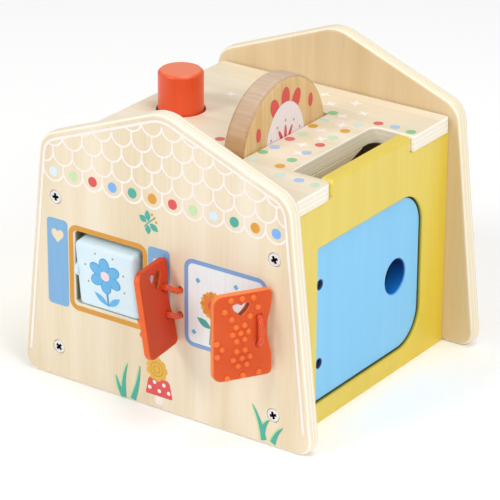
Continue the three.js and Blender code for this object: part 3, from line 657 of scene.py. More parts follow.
def attach(piece, body, slot, *nodes):
    """Gives a piece its body, and hides the CAD nodes that it stands for. The slot is not used."""
    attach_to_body(piece, body)
    if nodes:
        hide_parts(*nodes)


def dress(piece, body, material, slot, *nodes):
    piece.data.materials.append(material)
    attach(piece, body, slot, *nodes)
    return piece


def smooth_path(points, steps):
    """Points along a centripetal Catmull-Rom curve through the given ones."""
    ends = [2 * points[0] - points[1], *points, 2 * points[-1] - points[-2]]
    path = []
    for a, b, c, d in zip(ends, ends[1:], ends[2:], ends[3:]):
        knots = [0]
        for first, second in ((a, b), (b, c), (c, d)):
            knots.append(knots[-1] + sqrt((second - first).length))
        t0, t1, t2, t3 = knots
        for k in range(steps):
            t = t1 + (t2 - t1) * k / steps
            ab = a.lerp(b, (t - t0) / (t1 - t0))
            bc = b.lerp(c, (t - t1) / (t2 - t1))
            cd = c.lerp(d, (t - t2) / (t3 - t2))
            abc = ab.lerp(bc, (t - t0) / (t2 - t0))
            bcd = bc.lerp(cd, (t - t1) / (t3 - t1))
            path.append(abc.lerp(bcd, (t - t1) / (t2 - t1)))
    return path + [points[-1]]


# Materials

def colour(text):
    """A linear colour from its six hexadecimal digits."""
    shares = [int(text[i:i + 2], 16) / 255 for i in (1, 3, 5)]
    return [c / 12.92 if c <= 0.04045 else ((c + 0.055) / 1.055) ** 2.4 for c in shares] + [1]


def new_material(name, roughness, coat=0):
    made = bpy.data.materials.new(name)
    made.use_nodes = True
    shader = made.node_tree.nodes["Principled BSDF"]
    shader.inputs["Roughness"].default_value = roughness
    shader.inputs["Coat Weight"].default_value = coat
    shader.inputs["Coat Roughness"].default_value = COAT_ROUGHNESS
    return made, made.node_tree, shader


def node(tree, kind, inputs=None, output=0, **settings):
    """A new node's output, once its settings and inputs are set or linked."""
    made = tree.nodes.new("ShaderNode" + kind)
    for key, value in settings.items():
        setattr(made, key, value)
    for key, value in (inputs or {}).items():
        if isinstance(value, bpy.types.NodeSocket):
            tree.links.new(value, made.inputs[key])
        else:
            made.inputs[key].default_value = value
    return made.outputs[output]


def calc(tree, operation, *values):
    return node(tree, "Math", dict(enumerate(values)), operation=operation)


def ramp(tree, factor, *stops):
    made = node(tree, "ValToRGB", {"Fac": factor}).node
    elements = made.color_ramp.elements
    while len(elements) < len(stops):
        elements.new(0)
    for element, (place, tone) in zip(elements, stops):
        element.position = place
        element.color = colour(tone)
    return made.outputs["Color"]


def blend_colours(tree, factor, first, second, kind="MIX"):
    return node(tree, "Mix", {0: factor, 6: first, 7: second}, 2, data_type="RGBA", blend_type=kind)


def shade(tree, tone, factor, text, kind="MIX"):
    """A tone that takes another colour where the factor is one."""
    return blend_colours(tree, factor, tone, colour(text), kind)


def difference(tree, first, second):
    return calc(tree, "ABSOLUTE", calc(tree, "SUBTRACT", first, second))


def coordinates(tree, kind="Object"):
    return node(tree, "TexCoord", output=kind)


def split(tree, kind="Object"):
    """The x, y and z of a surface's place, or of its normal."""
    return node(tree, "SeparateXYZ", {0: coordinates(tree, kind)}).node.outputs


def fade(tree, value, start, end, kind="LINEAR"):
    """A factor that goes from zero at the start to one at the end."""
    return node(tree, "MapRange", {0: value, 1: start, 2: end}, interpolation_type=kind)


def stretched(tree, scales):
    return node(tree, "Mapping", {"Vector": coordinates(tree), "Scale": scales})


def noise(tree, scale, detail, place=None):
    return node(tree, "TexNoise",
                {"Vector": place or coordinates(tree), "Scale": scale, "Detail": detail})


def grain(tree, along, width, length, detail=3):
    """Noise in streaks of one width that run along one axis."""
    scales = [1 / width] * 3
    scales[along] = 1 / length
    return noise(tree, scale=1, detail=detail, place=stretched(tree, scales))


def streaks(tree, along, broad, fine, share):
    """Broad streaks with fine ones among them, and the fine ones alone."""
    wide, thin = grain(tree, along, *broad), grain(tree, along, *fine)
    return calc(tree, "MULTIPLY_ADD", wide, share, calc(tree, "MULTIPLY", thin, 1 - share)), thin


def finish_surface(tree, shader, tone, height, depth, strength=0.5):
    """Gives the shader its colour and its fine relief."""
    tree.links.new(tone, shader.inputs["Base Color"])
    relief = node(tree, "Bump", {"Height": height, "Distance": depth, "Strength": strength})
    tree.links.new(relief, shader.inputs["Normal"])


def ply_stops(tones):
    """Cream and tan plies in turn, with a thin glue line between them."""
    stops = []
    for i in range(PLIES):
        for place, tone in ((PLY_START, tones[i % 2]), (PLY_END, tones[i % 2]), (GLUE_LINE, tones[2])):
            stops.append(((i + place) / PLIES, tone))
    return stops[:-1]


def sill_shade(tree, plies, sill, low):
    """Paints shade on the upright cut side of the window at one place in x."""
    spot = split(tree)
    middle = (WINDOW_LOW.y + WINDOW_HIGH.y) / 2
    half = middle - WINDOW_LOW.y
    rise = difference(tree, spot["Z"], middle)
    amount = fade(tree, difference(tree, spot["X"], sill), WINDOW_SHADE_FAR, WINDOW_SHADE_NEAR)
    for part in (fade(tree, rise, half, half - WINDOW_SHADE_DEPTH),
                 fade(tree, spot["Y"], low, low + WINDOW_SHADE_DEPTH)):
        amount = calc(tree, "MULTIPLY", amount, part)
    return shade(tree, plies, amount, WINDOW_SHADE)


def birch(name, along, across, low, thick, plies=BIRCH_PLIES, faces=BIRCH_FACES, sills=()):
    """Clear varnished birch plywood: faint streaks on its faces and plies at its edges, with painted shade on
    the window's cut sides at the sills.
    """
    made, tree, shader = new_material(name, roughness=0.42, coat=0.15)
    mixed, fine = streaks(tree, along, **BIRCH_GRAIN)
    face = ramp(tree, mixed, *zip(BIRCH_STOPS, faces))
    wave = calc(tree, "SUBTRACT", grain(tree, across, width=PLY_WAVE, length=PLY_WAVE), 0.5)
    wander = calc(tree, "MULTIPLY", wave, PLY_WANDER)
    depth = calc(tree, "SUBTRACT", split(tree)[across], low)
    level = calc(tree, "ADD", calc(tree, "DIVIDE", depth, thick), wander)
    edge = ramp(tree, level, *ply_stops(plies))
    for sill in sills:
        edge = sill_shade(tree, edge, sill, low)
    facing = calc(tree, "ABSOLUTE", split(tree, "Normal")[across])
    turned = fade(tree, facing, start=0.8, end=0.94, kind="SMOOTHSTEP")
    finish_surface(tree, shader, blend_colours(tree, turned, edge, face), fine, WOOD_RELIEF)
    return made


def well_wall_shade(tree, tone, centre, radius, bottom, top):
    """Paints shade on the wall of a hole across x, in a tone that runs from its bottom to its top."""
    spot = split(tree)
    squares = [calc(tree, "POWER", calc(tree, "SUBTRACT", spot["YZ"[i]], centre[i]), 2) for i in (0, 1)]
    apart = calc(tree, "SQRT", calc(tree, "ADD", *squares))
    within = fade(tree, apart, radius + 2 * HOLE_EDGE, radius)
    height = fade(tree, spot["Z"], centre[1] - radius * WELL_SHADE_LOW, centre[1] + radius * WELL_SHADE_HIGH)
    return blend_colours(tree, within, tone, blend_colours(tree, height, colour(bottom), colour(top)))


def paint(name, light, dark, roughness=0.4, coat=0.2, wells=(), crown=None, rear_shade=None, reveal_shade=None):
    """Satin paint that lets the upright grain show a little. Wells are holes across x whose walls get painted
    shade, a crown is a tone that paints the light on what looks up, a rear shade is painted shade on the far
    end, and a reveal shade is painted shade on the doorway's wall, with the place in x of the board's face."""
    made, tree, shader = new_material(name, roughness, coat)
    mixed, fine = streaks(tree, 2, **PAINT_GRAIN)
    tone = ramp(tree, mixed, (0.3, dark), (0.65, light))
    spot = split(tree)
    if crown:
        # The crown paints a lit tone on what looks up: a painted highlight on the chimney, painted shade on
        # the yellow tab's top
        tone = shade(tree, tone, fade(tree, split(tree, "Normal")["Z"], start=0.6, end=0.95), crown)
    if rear_shade:
        # Painted shade that deepens the paint towards the rear and the foot
        drop = calc(tree, "MULTIPLY_ADD", spot["Z"], -REAR_SHADE_FALL_SHARE, spot["Y"])
        tone = shade(tree, tone, fade(tree, drop, REAR_SHADE_START, REAR_SHADE_END), rear_shade, "MULTIPLY")
    if reveal_shade:
        # Painted shade on the doorway's wall, inwards from the board's face and below the doorway's top
        doorway_shade, face = reveal_shade
        inward = fade(tree, spot["X"], face - DOORWAY_EDGE, face - REVEAL_DEPTH)
        below = calc(tree, "LESS_THAN", spot["Z"], DOORWAY_HIGH.y + DOORWAY_EDGE)
        tone = shade(tree, tone, calc(tree, "MULTIPLY", inward, below), doorway_shade)
    # Painted shade on the walls of the holes
    for well in wells:
        tone = well_wall_shade(tree, tone, *well)
    finish_surface(tree, shader, tone, fine, PAINT_RELIEF, strength=0.45)
    return made


def wheel_wood(name):
    """Turned beech: fine upright grain on the faces, and end grain that turns to side grain round the rim."""
    made, tree, shader = new_material(name, roughness=0.5, coat=0.1)
    mixed, fine = streaks(tree, 2, **BEECH_GRAIN)
    face = ramp(tree, mixed, (0.32, "#D6AA6C"), (0.5, "#E3BD84"), (0.66, "#EBCA97"))
    normal = split(tree, "Normal")
    bands = noise(tree, scale=1, detail=3, place=stretched(tree, RIM_BANDS))
    end_grain = ramp(tree, bands, (0.35, "#C6AB91"), (0.65, "#D4BAA2"))
    side_grain = ramp(tree, bands, (0.35, "#B08350"), (0.65, "#BF9361"))
    rim = blend_colours(tree, fade(tree, normal["Z"], start=0.15, end=0.95), side_grain, end_grain)
    flat = fade(tree, calc(tree, "ABSOLUTE", normal["X"]), start=0.75, end=0.95, kind="SMOOTHSTEP")
    finish_surface(tree, shader, blend_colours(tree, flat, rim, face), fine, WOOD_RELIEF)
    return made


def solid_wood(name, tones, along, ring_width):
    """Sawn or turned solid wood with growth rings across x and pores."""
    made, tree, shader = new_material(name, roughness=0.45, coat=0.1)
    scales = [1 / ring_width, RING_STRETCH / ring_width, RING_STRETCH / ring_width]
    scales[along] = RING_RUN / ring_width
    rings = node(tree, "TexWave", {"Vector": stretched(tree, scales), **RING_WAVE}, "Fac",
                 bands_direction="X", wave_profile="SAW")
    fine = grain(tree, along, *SOLID_GRAIN)
    mixed = calc(tree, "MULTIPLY_ADD", rings, 0.5, calc(tree, "MULTIPLY", fine, 0.5))
    finish_surface(tree, shader, ramp(tree, mixed, *zip(SOLID_STOPS, tones)), fine, SOLID_RELIEF)
    return made


def moulded(name, roughness, coat=0, gloss=0.3):
    """The start of a plastic, with a faint mottle and an eggshell surface."""
    made, tree, shader = new_material(name, roughness, coat)
    shader.inputs["Specular IOR Level"].default_value = gloss
    return made, tree, shader, noise(tree, MOTTLE_SCALE, detail=2), noise(tree, SKIN_SCALE, detail=2)


def plastic(name, light, dark, roughness, edge=None, **finish):
    """Moulded plastic. An edge is a painted highlight: a paler tone for all that turns away from a facing
    direction.
    """
    made, tree, shader, cloud, skin = moulded(name, roughness, **finish)
    tone = ramp(tree, cloud, (0.3, dark), (0.7, light))
    if edge:
        pale, facing = edge
        across = node(tree, "VectorMath", {0: coordinates(tree, "Normal"), 1: facing}, "Value",
                      operation="DOT_PRODUCT")
        turned = fade(tree, calc(tree, "ABSOLUTE", across), start=0.97, end=0.6)
        tone = shade(tree, tone, turned, pale)
    finish_surface(tree, shader, tone, skin, SKIN_RELIEF)
    return made


def shaded_flap_plastic(name, face, hinge, edge):
    """The plastic of the flap that stands edge on, a darker copy in painted shade: painted shade that reddens
    towards its hinge, and a painted highlight along its free edge.
    """
    made, tree, shader, cloud, skin = moulded(name, roughness=0.45)
    # Painted shade that deepens towards the hinge, along a border that wanders
    depth = calc(tree, "MULTIPLY_ADD", cloud, HINGE_SHADE_WANDER, split(tree)["Y"])
    near = fade(tree, depth, front_low.y - FLAP_WIDTHS["left"] * HINGE_SHADE_SHARE, front_low.y)
    tone = blend_colours(tree, near, colour(face), colour(hinge))
    # A painted highlight on what faces ahead, along the free edge
    ahead = fade(tree, split(tree, "Normal")["Y"], start=-0.35, end=-0.8)
    finish_surface(tree, shader, shade(tree, tone, ahead, edge), skin, SKIN_RELIEF)
    return made


def woven(name, light, dark):
    """The sheath of a thin cord."""
    made, tree, shader = new_material(name, roughness=0.6)
    threads = node(tree, "TexVoronoi", {"Vector": coordinates(tree), "Scale": THREAD_SCALE}, "Distance")
    shader.inputs["Sheen Weight"].default_value = 0.1
    tone = ramp(tree, threads, (0.1, light), (0.75, dark))
    finish_surface(tree, shader, tone, threads, THREAD_RELIEF, strength=0.6)
    return made


def zinc(name, dark, light, roughness):
    """Zinc plating with fine scratches."""
    made, tree, shader = new_material(name, roughness)
    cloud = noise(tree, ZINC_SCALE, detail=3)
    tree.links.new(ramp(tree, cloud, (0.3, dark), (0.7, light)), shader.inputs["Base Color"])
    tree.links.new(calc(tree, "MULTIPLY_ADD", cloud, ZINC_WEAR, roughness), shader.inputs["Roughness"])
    shader.inputs["Metallic"].default_value = 0.9
    return made


def ink(name, tone, along=2):
    """Printing ink that lets the grain below it show a little."""
    made, tree, shader = new_material(name, roughness=0.45, coat=0.1)
    below = ramp(tree, grain(tree, along, *INK_GRAIN), (0.3, "#F8F8F8"), (0.6, "#FFFFFF"))
    tree.links.new(blend_colours(tree, 1, colour(tone), below, "MULTIPLY"), shader.inputs["Base Color"])
    return made


# The camera and the hinge cords come first

def add_camera():
    back = (CAMERA_PLACE - CAMERA_TARGET).normalized()
    right = Vector((0, 0, 1)).cross(back).normalized()
    turn = axes((0, 0, 0), right, back.cross(right), back) @ Matrix.Rotation(CAMERA_ROLL, 4, "Z")
    data = bpy.data.cameras.new("camera")
    data.sensor_width = SENSOR
    data.lens = LENS
    made = linked("camera", data)
    made.matrix_world = Matrix.Translation(CAMERA_PLACE) @ turn
    bpy.context.scene.camera = made


def flap_frame(side):
    lean, turn = FLAP_TURNS[side]
    place = Matrix.Translation(FLAP_PLACES[side])
    return place @ Matrix.Rotation(lean, 4, "Y") @ Matrix.Rotation(turn, 4, "Z")


front_low, front_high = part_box("front_gable")
back_low, back_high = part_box("back_gable")
deck_low, deck_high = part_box("roof_deck")
gable_thick = front_high.y - front_low.y


def gable_hole_x(side):
    return FLAP_PLACES[side].x + FLAP_AWAY[side] * GABLE_HOLE_SHIFTS[side]


def cord_points(side):
    """The route of a hinge cord, from one knot behind the gable to the other."""
    place = flap_frame(side)
    half = FLAP_THICK / 2

    def on_flap(out, height):
        return place @ Vector((CORD_FROM_AXIS, -FLAP_AWAY[side] * out, height))

    def on_gable(y, rise):
        return Vector((gable_hole_x(side), y, FLAP_PLACES[side].z + rise))

    def end(rise, height):
        return [
            on_gable(front_high.y + KNOT_GAP + KNOT_RADIUS, rise), on_gable(front_high.y, rise),
            on_gable(front_low.y - CORD_RADIUS, rise), on_flap(-half - CORD_SLACK, height),
            on_flap(-half, height), on_flap(half, height),
        ]

    bulge = [on_flap(half + CORD_BULGE, CORD_LOW + (CORD_HIGH - CORD_LOW) * share) for share in BULGE_SHARES]
    return end(GABLE_HOLE_LOW, CORD_LOW) + bulge + end(GABLE_HOLE_HIGH, CORD_HIGH)[::-1]


def knot_points(centre):
    """A trefoil, as an overhand knot lies when it is pulled tight."""
    size = (KNOT_RADIUS - KNOT_CORD) / 3
    spots = []
    for i in range(KNOT_STEPS + 1):
        t = tau * i / KNOT_STEPS
        flat = (sin(t) + 2 * sin(2 * t), cos(t) - 2 * cos(2 * t))
        spots.append(centre + Vector((flat[0], -sin(3 * t), flat[1])) * size)
    return spots


def add_hinge_cord(side, material):
    points = cord_points(side)
    bm = bmesh.new()
    add_tube(bm, smooth_path(points, CORD_STEPS), CORD_RADIUS, STRANDS)
    for centre in (points[0], points[-1]):
        add_tube(bm, knot_points(centre), KNOT_CORD, STRANDS)
    cord = finished(side + "_cord_loop", bm)
    cord.data.materials.append(material)
    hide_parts(side + "_hinge_cord")
    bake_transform(cord)


# Boards

def board(name, thick, loops, place, *looks):
    """A board as a piece of its own. The looks are what dress takes after the piece."""
    bm = bmesh.new()
    add_board(bm, thick, loops, place)
    return dress(finished(name, bm), *looks)


def bore(place, radius, edge=HOLE_EDGE, floor=None):
    """A small round hole, or a pocket where a floor is given."""
    return loop(hole(circle(place, radius, SMALL_SIDES)), edge, floor=floor)


def wall_place(low_x):
    return axes((low_x, 0, 0), (0, 1, 0), (0, 0, 1), (1, 0, 0))


def gable_points():
    return outline([
        (-FOOT_HALF, 0, FOOT_ROUND), (FOOT_HALF, 0, FOOT_ROUND),
        (SHOULDER_HALF, SHOULDER_HEIGHT, SHOULDER_ROUND), (0, PEAK_HEIGHT, PEAK_ROUND),
        (-SHOULDER_HALF, SHOULDER_HEIGHT, SHOULDER_ROUND),
    ])


def add_gables():
    """The front gable faces the viewer with its upper side, the back gable looks away."""
    pockets = [bore((x, z), SCREW_POCKET, HOLE_EDGE / 2, gable_thick - SCREW_POCKET_DEPTH)
               for z in SCREW_Z for x in (-SCREW_X, SCREW_X)]
    openings = [loop(hole(rectangle(WINDOW_LOW, WINDOW_HIGH, WINDOW_ROUND)), WINDOW_EDGE)]
    openings += [bore((gable_hole_x(side), FLAP_PLACES[side].z + rise), CORD_HOLE)
                 for side in FLAP_PLACES for rise in (GABLE_HOLE_LOW, GABLE_HOLE_HIGH)]
    sills = (WINDOW_LOW.x, WINDOW_HIGH.x)
    for name, y, ahead, low, extra, looks in (
        ("front", front_high.y, -1, front_low.y, openings, {"plies": FRONT_PLIES, "sills": sills}),
        ("back", back_low.y, 1, back_low.y, [], {"plies": BACK_PLIES, "faces": BACK_SHADED_FACES}),
    ):
        wood = birch(name + " gable birch", along=2, across=1, low=low, thick=gable_thick, **looks)
        place = axes((0, y, 0), (-ahead, 0, 0), (0, 0, 1), (0, ahead, 0))
        loops = [loop(gable_points(), GABLE_EDGE), *pockets, *extra]
        board(name + "_gable_board", gable_thick, loops, place, "house", wood, "birch_ply", name + "_gable")


def add_deck():
    back = deck_high.y - DECK_GAP
    outer = outline([
        (deck_low.x, deck_low.y, DECK_CORNER), (deck_high.x, deck_low.y, DECK_CORNER),
        (deck_high.x, NOTCH_FRONT, STRIP_FRONT_ROUND), (NOTCH_X, NOTCH_FRONT, NOTCH_FRONT_ROUND),
        (NOTCH_X, NOTCH_BACK, NOTCH_ROUND), (deck_high.x, NOTCH_BACK, STRIP_BACK_ROUND),
        (deck_high.x, back, DECK_CORNER), (deck_low.x, back, DECK_CORNER),
    ])
    loops = [
        loop(outer, DECK_EDGE),
        loop(hole(rectangle(SLOT_LOW, SLOT_HIGH, CORNER_ROUND)), HOLE_EDGE),
        loop(hole(circle(CHIMNEY_PLACE, CHIMNEY_HOLE)), HOLE_EDGE),
    ]
    thick = deck_high.z - deck_low.z
    wood = birch("deck birch", along=0, across=2, low=deck_low.z, thick=thick, plies=DECK_PLIES,
                 faces=DECK_FACES)
    place = Matrix.Translation((0, 0, deck_low.z))
    board("roof_deck_board", thick, loops, place, "house", wood, "birch_ply", "roof_deck")


def add_batten(material):
    foot = deck_low.z - BATTEN_DEPTH
    corners = [(BATTEN_FRONT, foot), (BATTEN_REAR_LOW, foot),
               (BATTEN_REAR_HIGH, deck_low.z), (BATTEN_FRONT, deck_low.z)]
    board("notch_batten", BATTEN_THICK, [loop([Vector(corner) for corner in corners], HOLE_EDGE)],
          wall_place(NOTCH_X - BATTEN_THICK), "house", material, "pine")


def add_right_wall(material):
    low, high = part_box("right_wall")
    points = outline([
        (low.y, low.z, CORNER_ROUND), (high.y, low.z, CORNER_ROUND), (high.y, WALL_TOP, CORNER_ROUND),
        (TAB_BACK, WALL_TOP, CORNER_ROUND), (TAB_BACK, high.z, TAB_CORNER), (TAB_FRONT, high.z, TAB_CORNER),
        (TAB_FRONT, WALL_TOP, CORNER_ROUND), (low.y, WALL_TOP, CORNER_ROUND),
    ])
    inner, outer = ([edge if p.y > WALL_TOP + TAB_START else BOARD_EDGE for p in points]
                    for edge in (TAB_INNER_ROUND, TAB_OUTER_ROUND))
    doorway = outline([
        (*DOORWAY_LOW, DOORWAY_FRONT_ROUND), (DOORWAY_HIGH.x, DOORWAY_LOW.y, DOORWAY_BACK_ROUND),
        (*DOORWAY_HIGH, DOORWAY_BACK_ROUND), (DOORWAY_LOW.x, DOORWAY_HIGH.y, DOORWAY_FRONT_ROUND),
    ])
    loops = [loop(points, inner, outer), loop(hole(doorway), DOORWAY_EDGE)]
    board("right_wall_board", high.x - low.x, loops, wall_place(low.x), "house", material, "yellow_paint",
          "right_wall")


def add_left_wall(material):
    low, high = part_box("left_wall")
    points = rectangle(low.yz, high.yz, CORNER_ROUND)
    board("left_wall_board", high.x - low.x, [loop(points, BOARD_EDGE)], wall_place(low.x), "house", material,
          "yellow_paint", "left_wall")


def add_door(material):
    low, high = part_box("door_panel")
    points = outline([
        (low.y, low.z, DOOR_FRONT_ROUND), (high.y, low.z, DOOR_BACK_ROUND),
        (high.y, high.z, DOOR_BACK_ROUND), (low.y, high.z, DOOR_FRONT_ROUND),
    ])
    foot, head = low.z + DOOR_FRONT_ROUND, high.z - DOOR_FRONT_ROUND
    hinge = [HINGE_EDGE if p.x < low.y + HINGE_EDGE_REACH and foot <= p.y <= head else DOOR_EDGE
             for p in points]
    thick = high.x - low.x
    finger = loop(hole(circle(FINGER_PLACE, FINGER_RADIUS)), FINGER_EDGE)
    wells = [bore((WELL_Y, z), WELL_RADIUS, HOLE_EDGE / 2, thick - WELL_DEPTH) for z in WELL_Z]
    loops = [loop(points, [DOOR_EDGE] * len(points), hinge), finger, *wells]
    board("door_board", thick, loops, wall_place(low.x), "door", material, "sky_paint", "door_panel")


# Wheel, chimney, block and flaps

def add_wheel(material):
    low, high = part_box("wheel_disc")
    rim = loop(circle(WHEEL_CENTRE, WHEEL_RADIUS, 2 * ROUND_SIDES), WHEEL_EDGE)
    loops = [rim, bore(WHEEL_CENTRE, WHEEL_BORE)]
    board("wheel_wood", high.x - low.x, loops, wall_place(low.x), "wheel", material, "beech", "wheel_disc")


def chamfered_profile(radius, low, high, edge, soft):
    """The profile of a dowel with a chamfered top, whose corners are eased by soft."""
    slope = soft * sqrt(0.5)
    foot = [(0, low), (radius - HOLE_EDGE, low), (radius, low + HOLE_EDGE)]
    outer = [(radius, high - edge - soft), (radius - slope, high - edge + slope)]
    inner = [(radius - edge + slope, high - slope), (radius - edge - soft, high)]
    return [*foot, *outer, *inner, (0, high)]


def add_chimney(material):
    low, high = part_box("chimney_plunger")
    profile = chamfered_profile(CHIMNEY_RADIUS, low.z, high.z, CHIMNEY_EDGE, CHIMNEY_SOFT)
    bm = bmesh.new()
    add_turned(bm, profile, Matrix.Translation((*CHIMNEY_PLACE, 0)))
    dress(finished("chimney_dowel", bm), "chimney", material, "orange_paint", "chimney_plunger")


def add_spring(material):
    """The coil below the chimney, which on the real toy shortens as the chimney goes down; this one is built
    at one length.
    """
    low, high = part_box("plunger_spring")
    reach = (high.x - low.x) / 2 - SPRING_WIRE
    rise = high.z - low.z - 2 * SPRING_WIRE
    steps = SPRING_TURNS * SPRING_STEPS
    points = []
    for i in range(steps + 1):
        spot = CHIMNEY_PLACE + polar(reach, tau * i / SPRING_STEPS)
        points.append(Vector((*spot, low.z + SPRING_WIRE + rise * i / steps)))
    bm = bmesh.new()
    add_tube(bm, points, SPRING_WIRE)
    coil = dress(finished("spring_coil", bm), "house", material, "steel", "plunger_spring")
    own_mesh(coil)


def block_frame():
    return Matrix.Translation(BLOCK_CENTRE) @ Matrix.Rotation(BLOCK_TILT, 4, "X")


def dome_profile(radius, rise):
    """A spherical cap on a short skirt."""
    ball = (radius ** 2 + rise ** 2) / (2 * rise)
    spread = [asin(radius / ball) * i / EDGE_STEPS for i in range(1, EDGE_STEPS + 1)]
    cap = [(ball * sin(a), ball * cos(a) - ball + rise) for a in spread]
    return [(0, rise), *cap, (radius, -rise), (0, -rise)]


def add_block(material):
    bm = bmesh.new()
    bmesh.ops.create_cube(bm, size=1, matrix=Matrix.Diagonal((*BLOCK_SIZE, 1)))
    bmesh.ops.bevel(bm, geom=bm.edges[:], offset=BLOCK_ROUND, segments=BLOCK_ROUND_STEPS, profile=0.5,
                    affect="EDGES")
    spot = Vector((-BLOCK_SIZE.x / 2, BOSS_INSET - BLOCK_SIZE.y / 2, BOSS_RISE_ALONG))
    boss = axes(spot, (0, 1, 0), (0, 0, 1), (-1, 0, 0))
    for quarter in range(4):
        spin = Matrix.Rotation(pi / 2 * quarter, 4, "X")
        add_turned(bm, dome_profile(BOSS_RADIUS, BOSS_RISE), spin @ boss, SMALL_SIDES)
    bmesh.ops.transform(bm, matrix=block_frame(), verts=bm.verts)
    dress(finished("window_block", bm), "block", material, "pale_block", "spin_block")


def flap_outline(width):
    """A flap with a waist in its hinge side."""
    waist = (CORD_LOW + CORD_HIGH) / 2
    return outline([
        (-FLAP_BACK, 0, FLAP_HINGE_ROUND), (width, 0, FLAP_ROUND), (width, FLAP_HEIGHT, FLAP_ROUND),
        (-FLAP_BACK, FLAP_HEIGHT, FLAP_HINGE_ROUND), (-FLAP_BACK, waist + FLAP_WAIST_REACH, FLAP_WAIST_ROUND),
        (FLAP_WAIST - FLAP_BACK, waist, FLAP_WAIST_ROUND),
        (-FLAP_BACK, waist - FLAP_WAIST_REACH, FLAP_WAIST_ROUND),
    ])


def add_flap(side, material, lit_bump_material):
    away = FLAP_AWAY[side]
    width = FLAP_WIDTHS[side]
    place = flap_frame(side) @ axes((0, away * FLAP_THICK / 2, 0), (1, 0, 0), (0, 0, 1), (0, -away, 0))
    cut = heart(HEART_SHARES[side] * width, HEART_LOWS[side], HEART_WIDTHS[side], HEART_HEIGHTS[side])
    loops = [loop(flap_outline(width), FLAP_EDGE), loop(hole(cut), HOLE_EDGE)]
    loops += [bore((CORD_FROM_AXIS, z), CORD_HOLE) for z in (CORD_LOW, CORD_HIGH)]
    rim = [loop(inset(cut, [-HEART_RIM] * len(cut)), HEART_RIM_RISE), loop(hole(cut), HEART_RIM_RISE)]
    bm = bmesh.new()
    add_board(bm, FLAP_THICK, loops, place)
    add_board(bm, FLAP_THICK + 2 * HEART_RIM_RISE, rim, place @ Matrix.Translation((0, 0, -HEART_RIM_RISE)))
    dress(finished(side + "_flap_shell", bm), "flap_" + side, material, "flap_plastic", side + "_flap")
    # The bumps take a paler, lit copy of the plastic: painted light
    bm = bmesh.new()
    for across, up in BUMP_SHARES:
        spot = Matrix.Translation(((across + BUMP_SHIFT_SHARE) * width, up * FLAP_HEIGHT, FLAP_THICK))
        add_turned(bm, dome_profile(BUMP_RADIUS, BUMP_RISE), place @ spot, SMALL_SIDES)
    dress(finished(side + "_flap_bumps", bm), "flap_" + side, lit_bump_material, "flap_plastic")


# Screws of the gables

def add_gable_screws(material, dark):
    """Countersunk screws with a slightly crowned head and a cross recess."""
    corners = [(level, side, x, z) for level, z in zip(("lower", "upper"), SCREW_Z)
               for side, x in (("left", -SCREW_X), ("right", SCREW_X))]
    for row, y, ahead, turns in (("front", front_low.y + SCREW_BELOW, -1, FRONT_RECESS_TURNS),
                                 ("back", back_high.y - SCREW_BELOW, 1, BACK_RECESS_TURNS)):
        for turn, (level, side, x, z) in zip(turns, corners):
            spin = Matrix.Rotation(turn * pi / 2, 4, "Z")
            place = axes((x, y, z), (-ahead, 0, 0), (0, 0, 1), (0, ahead, 0)) @ spin
            bm = bmesh.new()
            add_turned(bm, screw_profile(), place, SMALL_SIDES)
            body = finished(f"{row}_{side}_{level}_screw", bm)
            # The cross recess takes the second, dark zinc: painted shade
            for surface in (material, dark):
                body.data.materials.append(surface)
            carve(body, cross_cutters(place, (material, dark)))
            attach(body, "house", "steel", f"{row}_screw_{side}_{level}")


def screw_profile():
    shares = [i / EDGE_STEPS for i in range(1, EDGE_STEPS + 1)]
    crown = [(SCREW_HEAD * share, HEAD_CROWN * (1 - share ** 2) - HEAD_CROWN) for share in shares]
    return [(0, 0), *crown, (SCREW_HEAD, -2 * HEAD_CROWN), (SCREW_SHANK, -SCREW_SINK),
            (SCREW_SHANK, 2 * SCREW_SHANK - SCREW_LENGTH), (0, -SCREW_LENGTH)]


def cross_cutters(place, materials):
    """Two crossed wedges that narrow towards the bottom of the recess."""
    cutters = []
    for turn in (0, pi / 2):
        bm = bmesh.new()
        bmesh.ops.create_cube(bm, size=2)
        for vert in bm.verts:
            narrow = RECESS_TAPER if vert.co.z < 0 else 1
            wedge = Vector((RECESS_REACH * narrow, RECESS_HALF * (1 + narrow) / 2, RECESS_DEPTH))
            vert.co = vert.co * wedge
        bmesh.ops.transform(bm, matrix=place @ Matrix.Rotation(turn, 4, "Z"), verts=bm.verts)
        for face in bm.faces:
            face.material_index = 1
        cutter = finished("cutter", bm)
        for surface in materials:
            cutter.data.materials.append(surface)
        cutters.append(cutter)
    return cutters


def carve(piece, cutters):
    piece.modifiers.clear()
    for cutter in cutters:
        cut = piece.modifiers.new("cut", "BOOLEAN")
        cut.operation = "DIFFERENCE"
        cut.solver = "EXACT"
        cut.object = cutter
        cut.material_mode = "INDEX"
    shaped = piece.evaluated_get(bpy.context.evaluated_depsgraph_get())
    piece.data = bpy.data.meshes.new_from_object(shaped)
    piece.modifiers.clear()
    piece.data.shade_flat()
    for cutter in cutters:
        bpy.data.objects.remove(cutter)


# Shapes of the prints: each is a list of outlines, the first outside and the rest holes in it

def add_prints(rows, place, tones, body, slot):
    """Prints on one face, whose layers lie a hair apart."""
    ahead = place.to_3x3() @ Vector((0, 0, 1))
    for name, layers, tone, level in rows:
        bm = bmesh.new()
        for step, shapes in enumerate(layers, level):
            for shape in shapes:
                rings = [[bm.verts.new(place @ Vector((*p, PRINT_LIFT + step * LAYER_STEP))) for p in points]
                         for points in shape]
                edges = [bm.edges.new((ring[i - 1], ring[i])) for ring in rings for i in range(len(ring))]
                bmesh.ops.triangle_fill(bm, use_beauty=True, edges=edges, normal=ahead)
        dress(mesh_object(name, bm), body, tones[tone], slot)


